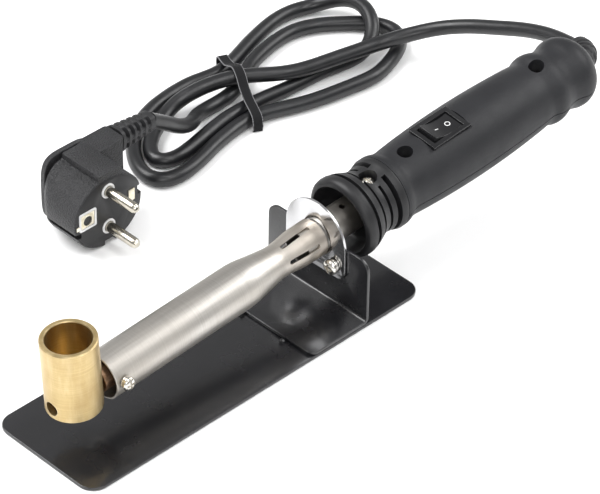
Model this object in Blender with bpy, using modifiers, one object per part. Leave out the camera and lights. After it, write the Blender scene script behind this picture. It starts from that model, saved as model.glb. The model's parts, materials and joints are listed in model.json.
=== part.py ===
"""Mains soldering iron with a crucible tip, screwed to a sheet-metal bench stand, with its lead and plug.

Metres, +Z up. The origin is the middle of the base plate's underside. +X runs along the plate towards the
handle and +Y is the side the lead lies on. Lengths below are in millimetres and are scaled by MM.
"""

import math

import bmesh
import bpy
from mathutils import Matrix, Vector

for old in list(bpy.data.objects):
    bpy.data.objects.remove(old, do_unlink=True)

MM = 0.001
GAP = 0.3  # clearance between neighbouring pieces

# stand
PLATE_L, PLATE_W, PLATE_T, PLATE_R = 190.0, 60.0, 1.5, 8.0
FOOT_X, UPRIGHT_X, UPRIGHT_Z, SHEET_T = 28.0, 60.3, 34.0, 1.5
FLANGE_R, FLANGE_BASE_Z, FLANGE_T = 17.6, 17.9, 1.2
SCREW_Y, SCREW_Z = 11.5, 23.9
# iron: its axis rises towards the handle and passes through (0, 0, AXIS_Z)
TILT, AXIS_Z = math.radians(3.42), 29.4
HANDLE_ROLL = math.radians(6.0)
BARREL_FRONT, BARREL_REAR = -63.0, 57.9
SLEEVE_R, SLEEVE_BORE = 7.7, 7.0
CUP_S, CUP_R, CUP_BORE, CUP_TOP, CUP_BASE, CUP_FLOOR = -77.5, 12.05, 9.75, 30.5, -5.1, 6.0
SHANK_R, STUD_R = 6.0, 3.0
CLAMP_S, CLAMP_PHI = -58.7, math.radians(84)
NOSE_SCREW_S, FRONT_SCREW_S, REAR_SCREW_S = 89.2, 111.6, 193.8
PARTING_U = -1.6
SWITCH_S, BEZEL_TOP, ROCKER_U, ROCKER_REST = 133.0, 17.1, 14.9, math.radians(-9)
# lead and plug
CORD_D = 7.0
RELIEF_END_S, RELIEF_BEND = 222.9, 10.4
HANK_Z0, HANK_H = 1.4, 12.0
PLUG = (19.9, 87.5, 19.5)
PLUG_R, PLUG_DEPTH = 19.3, 27.0
NECK_END, NECK_DEPTH, NECK_UP = 23.2, 22.0, 13.3
PIN_PITCH, PIN_R, PIN_L = 19.0, 2.4, 19.0

part = bpy.data.collections.new("crucible_soldering_iron")
tools = bpy.data.collections.new("cutters")
bpy.context.scene.collection.children.link(part)
bpy.context.scene.collection.children.link(tools)


def paint(name, colour, metallic, roughness):
    material = bpy.data.materials.new(name)
    material.use_nodes = True
    shader = material.node_tree.nodes["Principled BSDF"]
    shader.inputs["Base Color"].default_value = (*colour, 1)
    shader.inputs["Metallic"].default_value = metallic
    shader.inputs["Roughness"].default_value = roughness
    material.diffuse_color = (*colour, 1)
    return material


BLACK_PAINT = paint("black_paint", (0.02, 0.02, 0.022), 0.0, 0.25)
STEEL = paint("brushed_steel", (0.6, 0.58, 0.55), 1.0, 0.35)
BRIGHT = paint("nickel_plate", (0.75, 0.74, 0.72), 1.0, 0.2)
BRASS = paint("brass", (0.75, 0.58, 0.28), 1.0, 0.35)
DARK_ROD = paint("dark_rod", (0.25, 0.16, 0.1), 1.0, 0.5)
CERAMIC = paint("ceramic", (0.8, 0.78, 0.72), 0.0, 0.6)
HANDLE = paint("handle_plastic", (0.035, 0.035, 0.038), 0.0, 0.55)
SWITCH = paint("switch_plastic", (0.02, 0.02, 0.022), 0.0, 0.3)
RUBBER = paint("cord_rubber", (0.03, 0.03, 0.032), 0.0, 0.6)
TIE = paint("tie_plastic", (0.04, 0.04, 0.04), 0.0, 0.5)


def frame_of(x_axis, y_axis, z_axis, origin):
    matrix = Matrix.Identity(4)
    for column, axis in enumerate((x_axis, y_axis, z_axis)):
        for row in range(3):
            matrix[row][column] = axis[row]
    for row in range(3):
        matrix[row][3] = origin[row] * MM
    return matrix


def iron_frame(roll):
    """Local z runs along the iron, local x is up and local y is towards the viewer's side, turned by roll."""
    along = Vector((math.cos(TILT), 0, math.sin(TILT)))
    up = Vector((-math.sin(TILT), 0, math.cos(TILT)))
    side = Vector((0, -1, 0))
    x_axis = up * math.cos(roll) + side * math.sin(roll)
    y_axis = side * math.cos(roll) - up * math.sin(roll)
    return frame_of(x_axis, y_axis, along, (0, 0, AXIS_Z))


IRON = iron_frame(0)
GRIP = iron_frame(HANDLE_ROLL)
WORLD = Matrix.Identity(4)
ALONG_X = frame_of((0, 0, 1), (0, -1, 0), (1, 0, 0), (0, 0, 0))  # local z along +X
YZ_PLANE = frame_of((0, 1, 0), (0, 0, 1), (1, 0, 0), (0, 0, 0))  # outline (y, z), depth +X
XZ_PLANE = frame_of((1, 0, 0), (0, 0, 1), (0, -1, 0), (0, 0, 0))  # outline (x, z), depth -Y


def place(name, mesh, material, matrix, cutter):
    obj = bpy.data.objects.new(name, mesh)
    obj.matrix_world = matrix
    if cutter:
        tools.objects.link(obj)
        obj.hide_render = True
        obj.display_type = "WIRE"
    else:
        part.objects.link(obj)
        mesh.materials.append(material)
    return obj


def from_bmesh(name, bm, material, matrix=WORLD, cutter=False):
    bmesh.ops.scale(bm, vec=(MM, MM, MM), verts=bm.verts)
    bmesh.ops.recalc_face_normals(bm, faces=bm.faces)
    mesh = bpy.data.meshes.new(name)
    bm.to_mesh(mesh)
    bm.free()
    return place(name, mesh, material, matrix, cutter)


def prism_into(bm, outline, z0, z1, matrix=WORLD):
    low = [bm.verts.new(matrix @ Vector((x, y, z0))) for x, y in outline]
    top = [bm.verts.new(matrix @ Vector((x, y, z1))) for x, y in outline]
    bm.faces.new(low[::-1])
    bm.faces.new(top)
    for i in range(len(outline)):
        j = (i + 1) % len(outline)
        bm.faces.new((low[i], low[j], top[j], top[i]))


def prism(name, outline, z0, z1, material=None, matrix=WORLD, cutter=False):
    bm = bmesh.new()
    prism_into(bm, outline, z0, z1)
    return from_bmesh(name, bm, material, matrix, cutter)


def rectangle(x0, x1, y0, y1):
    return [(x0, y0), (x1, y0), (x1, y1), (x0, y1)]


def circle(radius, count=24, cx=0.0, cy=0.0):
    return [
        (cx + radius * math.cos(2 * math.pi * i / count), cy + radius * math.sin(2 * math.pi * i / count))
        for i in range(count)
    ]


def rounded(corners, count=6):
    """corners are (x, y, radius); each is replaced with an arc of that radius."""
    out = []
    for i, (x, y, radius) in enumerate(corners):
        if radius <= 0:
            out.append((x, y))
            continue
        here = Vector((x, y))
        before = Vector(corners[i - 1][:2])
        after = Vector(corners[(i + 1) % len(corners)][:2])
        a = (before - here).normalized()
        b = (after - here).normalized()
        half = a.angle(b) / 2
        middle = here + (a + b).normalized() * (radius / math.sin(half))
        start = here + a * (radius / math.tan(half)) - middle
        end = here + b * (radius / math.tan(half)) - middle
        turn = math.atan2(start.x * end.y - start.y * end.x, start.dot(end))
        for k in range(count + 1):
            t = turn * k / count
            out.append(
                (
                    middle.x + start.x * math.cos(t) - start.y * math.sin(t),
                    middle.y + start.x * math.sin(t) + start.y * math.cos(t),
                )
            )
    return out


def stadium(length, width, count=6):
    half = length / 2 - width / 2
    points = []
    for side, centre in ((1, half), (-1, -half)):
        for k in range(count + 1):
            a = -math.pi / 2 + math.pi * k / count
            points.append((centre + side * width / 2 * math.cos(a), side * width / 2 * math.sin(a)))
    return points


def revolve(name, profile, material, matrix, steps=40, closed=False, cutter=False):
    """profile is (height, radius), down the outer side; a closed one comes back up the bore."""
    mesh = bpy.data.meshes.new(name)
    count = len(profile)
    edges = [(i, i + 1) for i in range(count - 1)]
    if closed:
        edges.append((count - 1, 0))
    mesh.from_pydata([(r * MM, 0, z * MM) for z, r in profile], edges, [])
    obj = place(name, mesh, material, matrix, cutter)
    screw = obj.modifiers.new("revolve", "SCREW")
    screw.axis = "Z"
    screw.angle = 2 * math.pi
    screw.steps = screw.render_steps = steps
    screw.use_merge_vertices = True
    screw.merge_threshold = 0.00001
    screw.use_smooth_shade = False
    return obj


def boolean(obj, cutter, operation="DIFFERENCE"):
    modifier = obj.modifiers.new(operation.lower(), "BOOLEAN")
    modifier.operation = operation
    modifier.solver = "EXACT"
    modifier.object = cutter
    return modifier


def bevel(obj, width, segments=1, angle=40):
    modifier = obj.modifiers.new("bevel", "BEVEL")
    modifier.width = width * MM
    modifier.segments = segments
    modifier.limit_method = "ANGLE"
    modifier.angle_limit = math.radians(angle)
    modifier.use_clamp_overlap = True
    return modifier


def rod_matrix(point, direction):
    """Maps local z onto direction, with its origin at point."""
    return Matrix.Translation(Vector(point)) @ Vector(direction).to_track_quat("Z", "Y").to_matrix().to_4x4()


def rods(name, items, matrix=WORLD, count=24):
    """One cutter made of separate rods, each (point, direction, length, radius)."""
    bm = bmesh.new()
    for point, direction, length, radius in items:
        prism_into(bm, circle(radius, count), 0, length, rod_matrix(point, direction))
    return from_bmesh(name, bm, None, matrix, cutter=True)


# ---------------------------------------------------------------- stand
plate = prism(
    "base_plate",
    rounded(
        [
            (-PLATE_L / 2, -PLATE_W / 2, PLATE_R),
            (PLATE_L / 2, -PLATE_W / 2, PLATE_R),
            (PLATE_L / 2, PLATE_W / 2, PLATE_R),
            (-PLATE_L / 2, PLATE_W / 2, PLATE_R),
        ],
        8,
    ),
    0,
    PLATE_T,
    BLACK_PAINT,
)
bevel(plate, 0.25)

foot_z = PLATE_T + GAP
back_x = UPRIGHT_X + SHEET_T
bracket = prism(
    "stand_bracket",
    rounded(
        [
            (FOOT_X, foot_z, 0),
            (back_x, foot_z, 2.8),
            (back_x, UPRIGHT_Z, 0),
            (UPRIGHT_X, UPRIGHT_Z, 0),
            (UPRIGHT_X, foot_z + SHEET_T, 1.3),
            (FOOT_X, foot_z + SHEET_T, 0),
        ]
    ),
    -PLATE_W / 2,
    PLATE_W / 2,
    BLACK_PAINT,
    XZ_PLANE,
)
notch_z = AXIS_Z + UPRIGHT_X * math.tan(TILT)
notch_r = 8.6
notch = [
    (notch_r * math.cos(-math.pi * k / 14), notch_z + notch_r * math.sin(-math.pi * k / 14)) for k in range(15)
]
front_view = (
    rounded([(-30, -5, 0), (30, -5, 0), (30, UPRIGHT_Z, 6), (notch_r, UPRIGHT_Z, 0)])
    + notch
    + rounded([(-notch_r, UPRIGHT_Z, 0)])
    + rounded([(30, UPRIGHT_Z, 0), (-30, UPRIGHT_Z, 6), (-30, -5, 0)])[1:-1]
)
boolean(bracket, prism("bracket_front_view", front_view, FOOT_X - 5, back_x + 5, None, YZ_PLANE, True), "INTERSECT")
boolean(
    bracket,
    prism(
        "bracket_plan_view",
        rounded([(FOOT_X, -PLATE_W / 2, 4), (80, -PLATE_W / 2, 0), (80, PLATE_W / 2, 0), (FOOT_X, PLATE_W / 2, 4)]),
        -3,
        UPRIGHT_Z + 5,
        None,
        WORLD,
        True,
    ),
    "INTERSECT",
)
screw_holes = rods(
    "flange_screw_holes",
    [((50, y, SCREW_Z), (1, 0, 0), 20, 2.2) for y in (-SCREW_Y, SCREW_Y)],
)
boolean(bracket, screw_holes)

for name, y in (("bracket_weld_right", -14.0), ("bracket_weld_left", 11.0)):
    bead = revolve(
        name,
        [(1.7, 0), (1.55, 0.6), (1.05, 1.15), (0, 1.35), (0, 0)],
        BLACK_PAINT,
        WORLD,
        14,
    )
    bead.location = (26.3 * MM, y * MM, (PLATE_T + GAP) * MM)

arch = [
    (FLANGE_R * math.cos(math.pi * k / 24), notch_z + FLANGE_R * math.sin(math.pi * k / 24)) for k in range(25)
]
flange_front = UPRIGHT_X - GAP - FLANGE_T
flange = prism(
    "mounting_flange",
    arch
    + rounded([(-FLANGE_R, notch_z, 0), (-FLANGE_R, FLANGE_BASE_Z, 4.5), (FLANGE_R, FLANGE_BASE_Z, 4.5), (FLANGE_R, notch_z, 0)])[
        1:-1
    ],
    flange_front,
    flange_front + FLANGE_T,
    BRIGHT,
    YZ_PLANE,
)
boolean(flange, screw_holes)
boolean(flange, rods("flange_bore", [((0, 0, 40), (0, 0, 1), 40, SLEEVE_R + 0.35)], IRON, 40))


def pan_head(name, radius, height, shank_r, shank_l, matrix, material=BRIGHT, recess=1.0):
    """A cross-recessed pan-head screw; local z points out of the head and z = 0 is the underside of the head."""
    screw = revolve(
        name,
        [
            (height, 0),
            (height * 0.97, radius * 0.5),
            (height * 0.72, radius * 0.86),
            (height * 0.4, radius),
            (0, radius),
            (0, shank_r),
            (-shank_l, shank_r),
            (-shank_l, 0),
        ],
        material,
        matrix,
        20,
    )
    arm, half = radius * 0.62, radius * 0.13
    cross = [
        (half, half), (half, arm), (-half, arm), (-half, half), (-arm, half), (-arm, -half),
        (-half, -half), (-half, -arm), (half, -arm), (half, -half), (arm, -half), (arm, half),
    ]
    boolean(screw, prism(name + "_recess", cross, height - recess, height + 1, None, matrix, True))
    return screw


def washer(name, inner, outer, z0, z1, matrix):
    return revolve(name, [(z1, outer), (z0, outer), (z0, inner), (z1, inner)], BRIGHT, matrix, 20, closed=True)


for side, y in (("right", -SCREW_Y), ("left", SCREW_Y)):
    seat = flange_front - GAP
    matrix = frame_of((0, 0, 1), (0, 1, 0), (-1, 0, 0), (seat - 1.0 - GAP, y, SCREW_Z))
    pan_head("flange_screw_" + side, 3.5, 2.4, 1.85, 8.8, matrix)
    washer("flange_washer_" + side, 2.15, 3.2, 0, 1.0, frame_of((0, 0, 1), (0, 1, 0), (-1, 0, 0), (seat, y, SCREW_Z)))

# ---------------------------------------------------------------- hot end
barrel_outer = [
    (BARREL_REAR, 8.75), (49, 8.7), (45, 8.35), (40, 7.75), (36, 7.55), (33, 7.75), (27, 8.6),
    (21, 9.55), (17.5, 10.1), (14, 10.4), (BARREL_FRONT, 10.45),
]
barrel_bore = [
    (BARREL_FRONT, 9.65), (14, 9.6), (18, 9.1), (27, 7.8), (33, 6.95), (36, 6.75), (40, 6.95), (45, 7.6),
    (47.5, 8.0), (BARREL_REAR, 8.0),
]
barrel = revolve("heater_barrel", barrel_outer + barrel_bore, STEEL, IRON, 40, closed=True)
bm = bmesh.new()
for k in range(6):
    a = math.radians(12 + 60 * k)
    out = Vector((math.cos(a), math.sin(a), 0))
    across = Vector((-math.sin(a), math.cos(a), 0))
    turn = Matrix.Identity(4)
    for row in range(3):
        turn[row][0], turn[row][1], turn[row][2] = (0, 0, 1)[row], across[row], -out[row]
    turn.translation = Vector((0, 0, 45.6))
    prism_into(bm, stadium(16.4, 2.0, 4), -12, -5.5, turn)
boolean(barrel, from_bmesh("barrel_slots", bm, None, IRON, True))
clamp_dir = (math.cos(CLAMP_PHI), math.sin(CLAMP_PHI), 0)
boolean(barrel, rods("clamp_hole", [((0, 0, CLAMP_S), clamp_dir, 14, 1.8)], IRON))

sleeve = revolve(
    "support_sleeve",
    [(84.5, SLEEVE_R), (48.5, SLEEVE_R), (48.5, SLEEVE_BORE), (84.5, SLEEVE_BORE)],
    STEEL,
    IRON,
    40,
    closed=True,
)
vent = math.radians(7.4)
boolean(sleeve, rods("sleeve_vent", [((0, 0, 74.1), (math.cos(vent), math.sin(vent), 0), 12, 1.4)], IRON, 16))

revolve("heating_element", [(33, 0), (33, 6.2), (-17, 6.2), (-17, 0)], CERAMIC, IRON, 24)

shank_face = CUP_S + CUP_R + GAP
revolve(
    "crucible_shank",
    [(-18, 0), (-18, SHANK_R), (shank_face, SHANK_R), (shank_face, STUD_R), (-83.5, STUD_R), (-83.5, 0)],
    DARK_ROD,
    IRON,
    28,
)

cup_matrix = IRON @ Matrix.Translation((0, 0, CUP_S * MM)) @ Matrix.Rotation(math.pi / 2, 4, "Y")
cup = revolve(
    "crucible",
    [
        (CUP_FLOOR, 0), (CUP_FLOOR, CUP_BORE - 1.5), (CUP_FLOOR + 1.5, CUP_BORE), (CUP_TOP - 0.4, CUP_BORE),
        (CUP_TOP, CUP_BORE + 0.3), (CUP_TOP, CUP_R - 0.4), (CUP_TOP - 0.4, CUP_R), (CUP_BASE + 0.5, CUP_R),
        (CUP_BASE, CUP_R - 0.5), (CUP_BASE, 0),
    ],
    BRASS,
    cup_matrix,
    48,
)
boolean(cup, rods("cup_cross_hole", [((0, 0, CUP_S - 20), (0, 0, 1), 40, 3.3)], IRON))

clamp_matrix = IRON @ rod_matrix(
    (clamp_dir[0] * 12.05 * MM, clamp_dir[1] * 12.05 * MM, CLAMP_S * MM), clamp_dir
)
pan_head("clamp_screw", 3.1, 2.2, 1.45, 5.7, clamp_matrix, BRIGHT, 0.9)
washer("clamp_washer", 1.75, 2.9, -1.3, -0.3, clamp_matrix)

# ---------------------------------------------------------------- handle nose
nose = revolve(
    "handle_nose",
    [
        (98.6, 16.9), (97.2, 17.0), (95.8, 16.5), (93, 15.7), (90.5, 15.3), (88, 15.5), (86, 16.1),
        (85.3, 16.5), (85.3, 13.8), (83.9, 13.8), (83.9, 17.1), (82, 17.9), (80.4, 18.4), (80.4, 16.4),
        (78.3, 16.4), (78.3, 18.9), (76.6, 19.0), (75.0, 18.7), (73.9, 17.9), (73.3, 16.8), (73.3, 15.9),
        (74.2, 15.3), (80.5, 14.2), (82.2, 12.6), (82.8, 10.5), (82.8, 8.1), (98.6, 8.1),
    ],
    HANDLE,
    GRIP,
    40,
    closed=True,
)


def arc_band(bm, s0, s1, r0, r1, a0, a1, count):
    ring = [(r1 * math.cos(a0 + (a1 - a0) * k / count), r1 * math.sin(a0 + (a1 - a0) * k / count)) for k in range(count + 1)]
    ring += [(r0 * math.cos(a1 + (a0 - a1) * k / count), r0 * math.sin(a1 + (a0 - a1) * k / count)) for k in range(count + 1)]
    prism_into(bm, ring, s0, s1)


bm = bmesh.new()
for s0, s1, start in ((88.9, 90.5, 24), (93.0, 95.2, 14)):
    for sign in (1, -1):
        arc_band(bm, s0, s1, 12.4, 20, math.radians(sign * start), math.radians(sign * 152), 18)
boolean(nose, from_bmesh("nose_vents", bm, None, GRIP, True))
boolean(
    nose,
    rods(
        "nose_screw_recess",
        [((10.7, 0, NOSE_SCREW_S), (1, 0, 0), 12, 4.1)],
        GRIP,
    ),
)
boolean(nose, rods("nose_screw_hole", [((6.0, 0, NOSE_SCREW_S), (1, 0, 0), 6, 1.7)], GRIP, 16))
pan_head(
    "nose_screw",
    3.4,
    2.2,
    1.4,
    2.6,
    GRIP @ rod_matrix((11.0 * MM, 0, NOSE_SCREW_S * MM), (1, 0, 0)),
    BRIGHT,
    0.9,
)

# ---------------------------------------------------------------- handle shells
grip_outer = [
    (224.0, 7.4), (223.5, 9.6), (222.4, 11.7), (220.9, 13.5), (219.1, 15.0), (216.6, 16.25), (214, 16.75), (211.5, 16.5),
    (209, 15.75), (206, 15.2), (203, 15.6), (200, 16.55), (197.5, 16.9), (195.3, 16.65), (193.3, 15.9), (191, 15.5),
    (186, 15.9), (180, 16.35), (170, 16.9), (160, 17.25), (149, 17.4), (138, 17.3), (128, 17.0), (118, 16.5),
    (111, 16.0), (107, 15.7), (104.2, 15.85), (101.8, 16.6), (100.2, 16.95), (98.9, 16.95),
]
grip_bore = [
    (98.9, 9.0), (102, 9.0), (102.2, 12.9), (108, 13.0), (118, 13.8), (128, 14.4), (149, 14.8), (170, 14.3),
    (186, 13.2), (206, 12.5), (213.5, 13.6), (217.5, 12.2), (219.3, 9.6), (219.8, 6.8), (224.0, 6.8),
]


def post(name, u0, u1, stations, radius):
    return rods(name, [((u0, 0, s), (1, 0, 0), u1 - u0, radius) for s in stations], GRIP, 20)


stations = (FRONT_SCREW_S, REAR_SCREW_S)
upper = revolve("handle_upper_shell", grip_outer + grip_bore, HANDLE, GRIP, 40, closed=True)
boolean(upper, prism("below_parting", rectangle(-30, PARTING_U + GAP / 2, -30, 30), 80, 250, None, GRIP, True))
boolean(upper, post("upper_posts", PARTING_U + GAP / 2, 14.0, stations, 5.3), "UNION")
boolean(upper, post("upper_recesses", 8.3, 22, stations, 3.6))
boolean(upper, post("upper_screw_holes", PARTING_U - 3, 9.5, stations, 1.6))
boolean(
    upper,
    prism("switch_seat", rectangle(15.4, 25, -8.1, 8.1), SWITCH_S - 11.7, SWITCH_S + 11.7, None, GRIP, True),
)
boolean(
    upper,
    prism("switch_opening", rectangle(6, 25, -6.6, 6.6), SWITCH_S - 9.8, SWITCH_S + 9.8, None, GRIP, True),
)

lower = revolve("handle_lower_shell", grip_outer + grip_bore, HANDLE, GRIP, 40, closed=True)
boolean(lower, prism("above_parting", rectangle(PARTING_U - GAP / 2, 30, -30, 30), 80, 250, None, GRIP, True))
boolean(lower, post("lower_posts", -14.0, PARTING_U - GAP / 2, stations, 4.6), "UNION")
boolean(lower, post("lower_screw_holes", -9.5, PARTING_U + 3, stations, 1.6))

for name, s in (("handle_screw_front", FRONT_SCREW_S), ("handle_screw_rear", REAR_SCREW_S)):
    pan_head(name, 3.2, 2.0, 1.3, 15.5, GRIP @ rod_matrix((8.6 * MM, 0, s * MM), (1, 0, 0)), BRIGHT, 0.8)

# ---------------------------------------------------------------- switch
housing = prism("switch_housing", rectangle(3.5, BEZEL_TOP - 1.0, -6.3, 6.3), SWITCH_S - 9.5, SWITCH_S + 9.5, SWITCH, GRIP)
bezel = prism(
    "switch_bezel_block",
    rectangle(BEZEL_TOP - 1.4, BEZEL_TOP, -7.8, 7.8),
    SWITCH_S - 11.4,
    SWITCH_S + 11.4,
    None,
    GRIP,
    True,
)
boolean(housing, bezel, "UNION")
boolean(
    housing,
    prism("switch_well", rectangle(11.2, 25, -5.5, 5.5), SWITCH_S - 9.0, SWITCH_S + 9.0, None, GRIP, True),
)

pivot = GRIP @ Matrix.Translation((ROCKER_U * MM, 0, SWITCH_S * MM))
side_view = [
    (-8.3, 2.9), (-6.0, 2.2), (-3.0, 1.6), (0, 1.35), (3.0, 1.6), (6.0, 2.2), (8.3, 2.9),
    (8.1, -0.4), (5.0, -2.3), (-5.0, -2.3), (-8.1, -0.4),
]
# The rocker is modelled at rest, with its front end up.
tilted = [
    (
        s * math.sin(ROCKER_REST) + u * math.cos(ROCKER_REST),
        s * math.cos(ROCKER_REST) - u * math.sin(ROCKER_REST),
    )
    for s, u in side_view
]
bm = bmesh.new()
low = [bm.verts.new((u, -5.2, s)) for u, s in tilted]
top = [bm.verts.new((u, 5.2, s)) for u, s in tilted]
bm.faces.new(low)
bm.faces.new(top[::-1])
for i in range(len(tilted)):
    j = (i + 1) % len(tilted)
    bm.faces.new((low[i], low[j], top[j], top[i]))
rocker = from_bmesh("switch_rocker", bm, SWITCH, pivot)
bevel(rocker, 0.3)

# ---------------------------------------------------------------- lead
def smooth_route(points, spacing):
    """A smooth curve through points, read at even spacing."""
    dense = []
    for i in range(len(points) - 1):
        p0 = points[max(i - 1, 0)]
        p1, p2 = points[i], points[i + 1]
        p3 = points[min(i + 2, len(points) - 1)]
        for k in range(40):
            t = k / 40
            dense.append(
                0.5 * (2 * p1 + (p2 - p0) * t + (2 * p0 - 5 * p1 + 4 * p2 - p3) * t * t + (3 * p1 - p0 - 3 * p2 + p3) * t**3)
            )
    dense.append(points[-1])
    lengths = [0.0]
    for a, b in zip(dense, dense[1:]):
        lengths.append(lengths[-1] + (b - a).length)
    count = max(2, round(lengths[-1] / spacing))
    out, j = [], 0
    for k in range(count + 1):
        target = lengths[-1] * k / count
        while j < len(dense) - 2 and lengths[j + 1] < target:
            j += 1
        f = (target - lengths[j]) / (lengths[j + 1] - lengths[j])
        out.append(dense[j].lerp(dense[j + 1], min(max(f, 0), 1)))
    return out


def tube(name, points, radii, material, resolution=2):
    data = bpy.data.curves.new(name, "CURVE")
    data.dimensions = "3D"
    data.bevel_depth = MM
    data.bevel_resolution = resolution
    data.use_fill_caps = True
    spline = data.splines.new("POLY")
    spline.points.add(len(points) - 1)
    for target, point, radius in zip(spline.points, points, radii):
        target.co = (*(point * MM), 1)
        target.radius = radius
    data.materials.append(material)
    obj = bpy.data.objects.new(name, data)
    part.objects.link(obj)
    return obj


along = Vector((math.cos(TILT), 0, math.sin(TILT)))
bend_start = Vector((0, 0, AXIS_Z)) + along * RELIEF_END_S
toward = Vector((0, 0.97, -0.24))
toward = (toward - along * toward.dot(along)).normalized()
turn = math.radians(76)
relief = [bend_start + along * d for d in (-8.5, -4.0)]
relief += [
    bend_start + along * RELIEF_BEND * math.sin(turn * k / 9) + toward * RELIEF_BEND * (1 - math.cos(turn * k / 9))
    for k in range(10)
]
relief_end_dir = (along * math.cos(turn) + toward * math.sin(turn)).normalized()
relief.append(relief[-1] + relief_end_dir * 3)
tube("cord_strain_relief", relief, [6.4, 6.4] + [6.3 - 0.18 * k for k in range(10)] + [4.5], RUBBER, 4)

lead_start = relief[-1] + relief_end_dir * GAP
mouth = Vector((218.2, 94.9, 13.8))
mouth_dir = Vector((-0.83, 0.55, -0.16)).normalized()
lead_points = [
    lead_start,
    lead_start + relief_end_dir * 10,
    Vector((237.4, 33, 35.4)),
    Vector((237.2, 46.5, 31)),
    Vector((235.0, 59.8, 26.3)),
    Vector((232.4, 73.0, 21.8)),
    Vector((227.0, 85.9, 17.2)),
    mouth,
]
lead = smooth_route(lead_points, 8.0)
tube("cord_lead", lead, [CORD_D / 2] * len(lead), RUBBER, 2)


def closed_outline(points, steps):
    """A smooth closed curve through points."""
    out = []
    for i in range(len(points)):
        p0, p1, p2, p3 = (Vector(points[(i + k) % len(points)]) for k in (-1, 0, 1, 2))
        for k in range(steps):
            t = k / steps
            p = 0.5 * (2 * p1 + (p2 - p0) * t + (2 * p0 - 5 * p1 + 4 * p2 - p3) * t * t + (3 * p1 - p0 - 3 * p2 + p3) * t**3)
            out.append((p.x, p.y))
    return out


# The coiled part, as one block with rounded ends and a waist at its tie, with a flat face where each stretch
# of cord meets it. The outline runs around the two outermost loops.
HANK_TOP = HANK_Z0 + HANK_H
hank_outline = [
    (57, 106), (62, 121), (73, 136), (88, 146), (105, 150), (125, 150.5), (140, 149), (153, 152.5), (170, 158.5),
    (190, 162), (208, 159.5), (220, 150), (227, 135), (228, 118), (222, 106), (208, 97), (191, 89.8), (173, 92.5),
    (153, 97), (135, 102.5), (120, 105), (106, 102.5), (90, 98), (75, 95.5), (62, 97.5),
]
hank = prism("cord_hank", closed_outline(hank_outline, 2), HANK_Z0, HANK_TOP, RUBBER)


def mouth_block(name, end, direction, depth, z0, z1):
    flat = Vector((direction.x, direction.y, 0)).normalized()
    across = Vector((-flat.y, flat.x, 0))
    corners = [end + across * s for s in (-4.5, 4.5)]
    corners += [end + flat * depth + across * s for s in (4.5, -4.5)]
    return prism(name, [(c.x, c.y) for c in corners], z0, z1, None, WORLD, True)


boolean(hank, mouth_block("lead_mouth_block", mouth + mouth_dir * 1.6, mouth_dir, 14, HANK_Z0 + 2, HANK_TOP + 4), "UNION")

relief_start = Vector((PLUG[0] + NECK_END + 2 * GAP, PLUG[1] + NECK_DEPTH, PLUG[2] + NECK_UP))
tail_start = Vector((65.5, 110.6, 31.6))
relief_axis = (tail_start - relief_start).normalized()
tail_end = tail_start + relief_axis * 12
flat_dir = Vector((relief_axis.x, relief_axis.y, 0)).normalized()
boolean(hank, mouth_block("tail_mouth_block", tail_end + flat_dir * 0.5, flat_dir, 9, HANK_TOP - 4, tail_end.z + 4.2), "UNION")
tail = smooth_route([tail_start, tail_end], 4.0)
tube("cord_tail", tail, [CORD_D / 2] * len(tail), RUBBER, 2)

tie_turn = math.radians(-26)
tie_matrix = Matrix.Translation((135.5 * MM, 126.8 * MM, 0)) @ Matrix.Rotation(tie_turn, 4, "Z") @ frame_of(
    (0, 1, 0), (0, 0, 1), (1, 0, 0), (0, 0, 0)
)
tie_in, tie_t = 30.0, 1.0
tie_z0, tie_z1 = 0.05, HANK_TOP + GAP + 1.1
tie = prism(
    "cord_tie",
    rounded(
        [
            (-tie_in - tie_t, tie_z0, 3),
            (tie_in + tie_t, tie_z0, 3),
            (tie_in + tie_t, tie_z1, 3),
            (-tie_in - tie_t, tie_z1, 3),
        ],
        4,
    ),
    -2.6,
    2.6,
    TIE,
    tie_matrix,
)
tie_hole = rounded(
    [
        (-tie_in, tie_z0 + tie_t, 2),
        (tie_in, tie_z0 + tie_t, 2),
        (tie_in, tie_z1 - tie_t, 2),
        (-tie_in, tie_z1 - tie_t, 2),
    ],
    4,
)
boolean(tie, prism("tie_inside", tie_hole, -6, 6, None, tie_matrix, True))

# ---------------------------------------------------------------- plug
px, py, pz = PLUG
# local x is +X, local y is up and local z points out of the plug's face, towards -Y
PLUG_FRAME = frame_of((1, 0, 0), (0, 0, 1), (0, -1, 0), (px, py, pz))


def plug_section(half_x, low, high, power, z):
    """A ring of the moulding: a superellipse across local x, from low to high."""
    ring = []
    for k in range(40):
        a = 2 * math.pi * k / 40
        c, d = math.cos(a), math.sin(a)
        mid, half_y = (high + low) / 2, (high - low) / 2
        ring.append(
            (
                half_x * math.copysign(abs(c) ** (2 / power), c),
                mid + half_y * math.copysign(abs(d) ** (2 / power), d),
                z,
            )
        )
    return ring


sections = [
    plug_section(PLUG_R, -PLUG_R, PLUG_R, 2, 0),
    plug_section(PLUG_R, -PLUG_R, PLUG_R, 2, -18.5),
    plug_section(16.5, -17.5, 18.6, 2.6, -22.6),
    plug_section(14.4, -15.6, 18.2, 3.4, -24.4),
    plug_section(13.0, -14.4, 16.6, 3.4, -24.4),
    plug_section(13.0, -14.4, 16.6, 3.4, -25.6),
    plug_section(14.2, -15.4, 18.0, 3.4, -25.6),
    plug_section(14.0, -15.0, 17.8, 3.4, -PLUG_DEPTH),
]
bm = bmesh.new()
rings = [[bm.verts.new(p) for p in ring] for ring in sections]
bm.faces.new(rings[0])
bm.faces.new(rings[-1][::-1])
for first, second in zip(rings, rings[1:]):
    for i in range(40):
        j = (i + 1) % 40
        bm.faces.new((first[i], first[j], second[j], second[i]))
body = from_bmesh("plug_body", bm, SWITCH, PLUG_FRAME)
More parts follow.
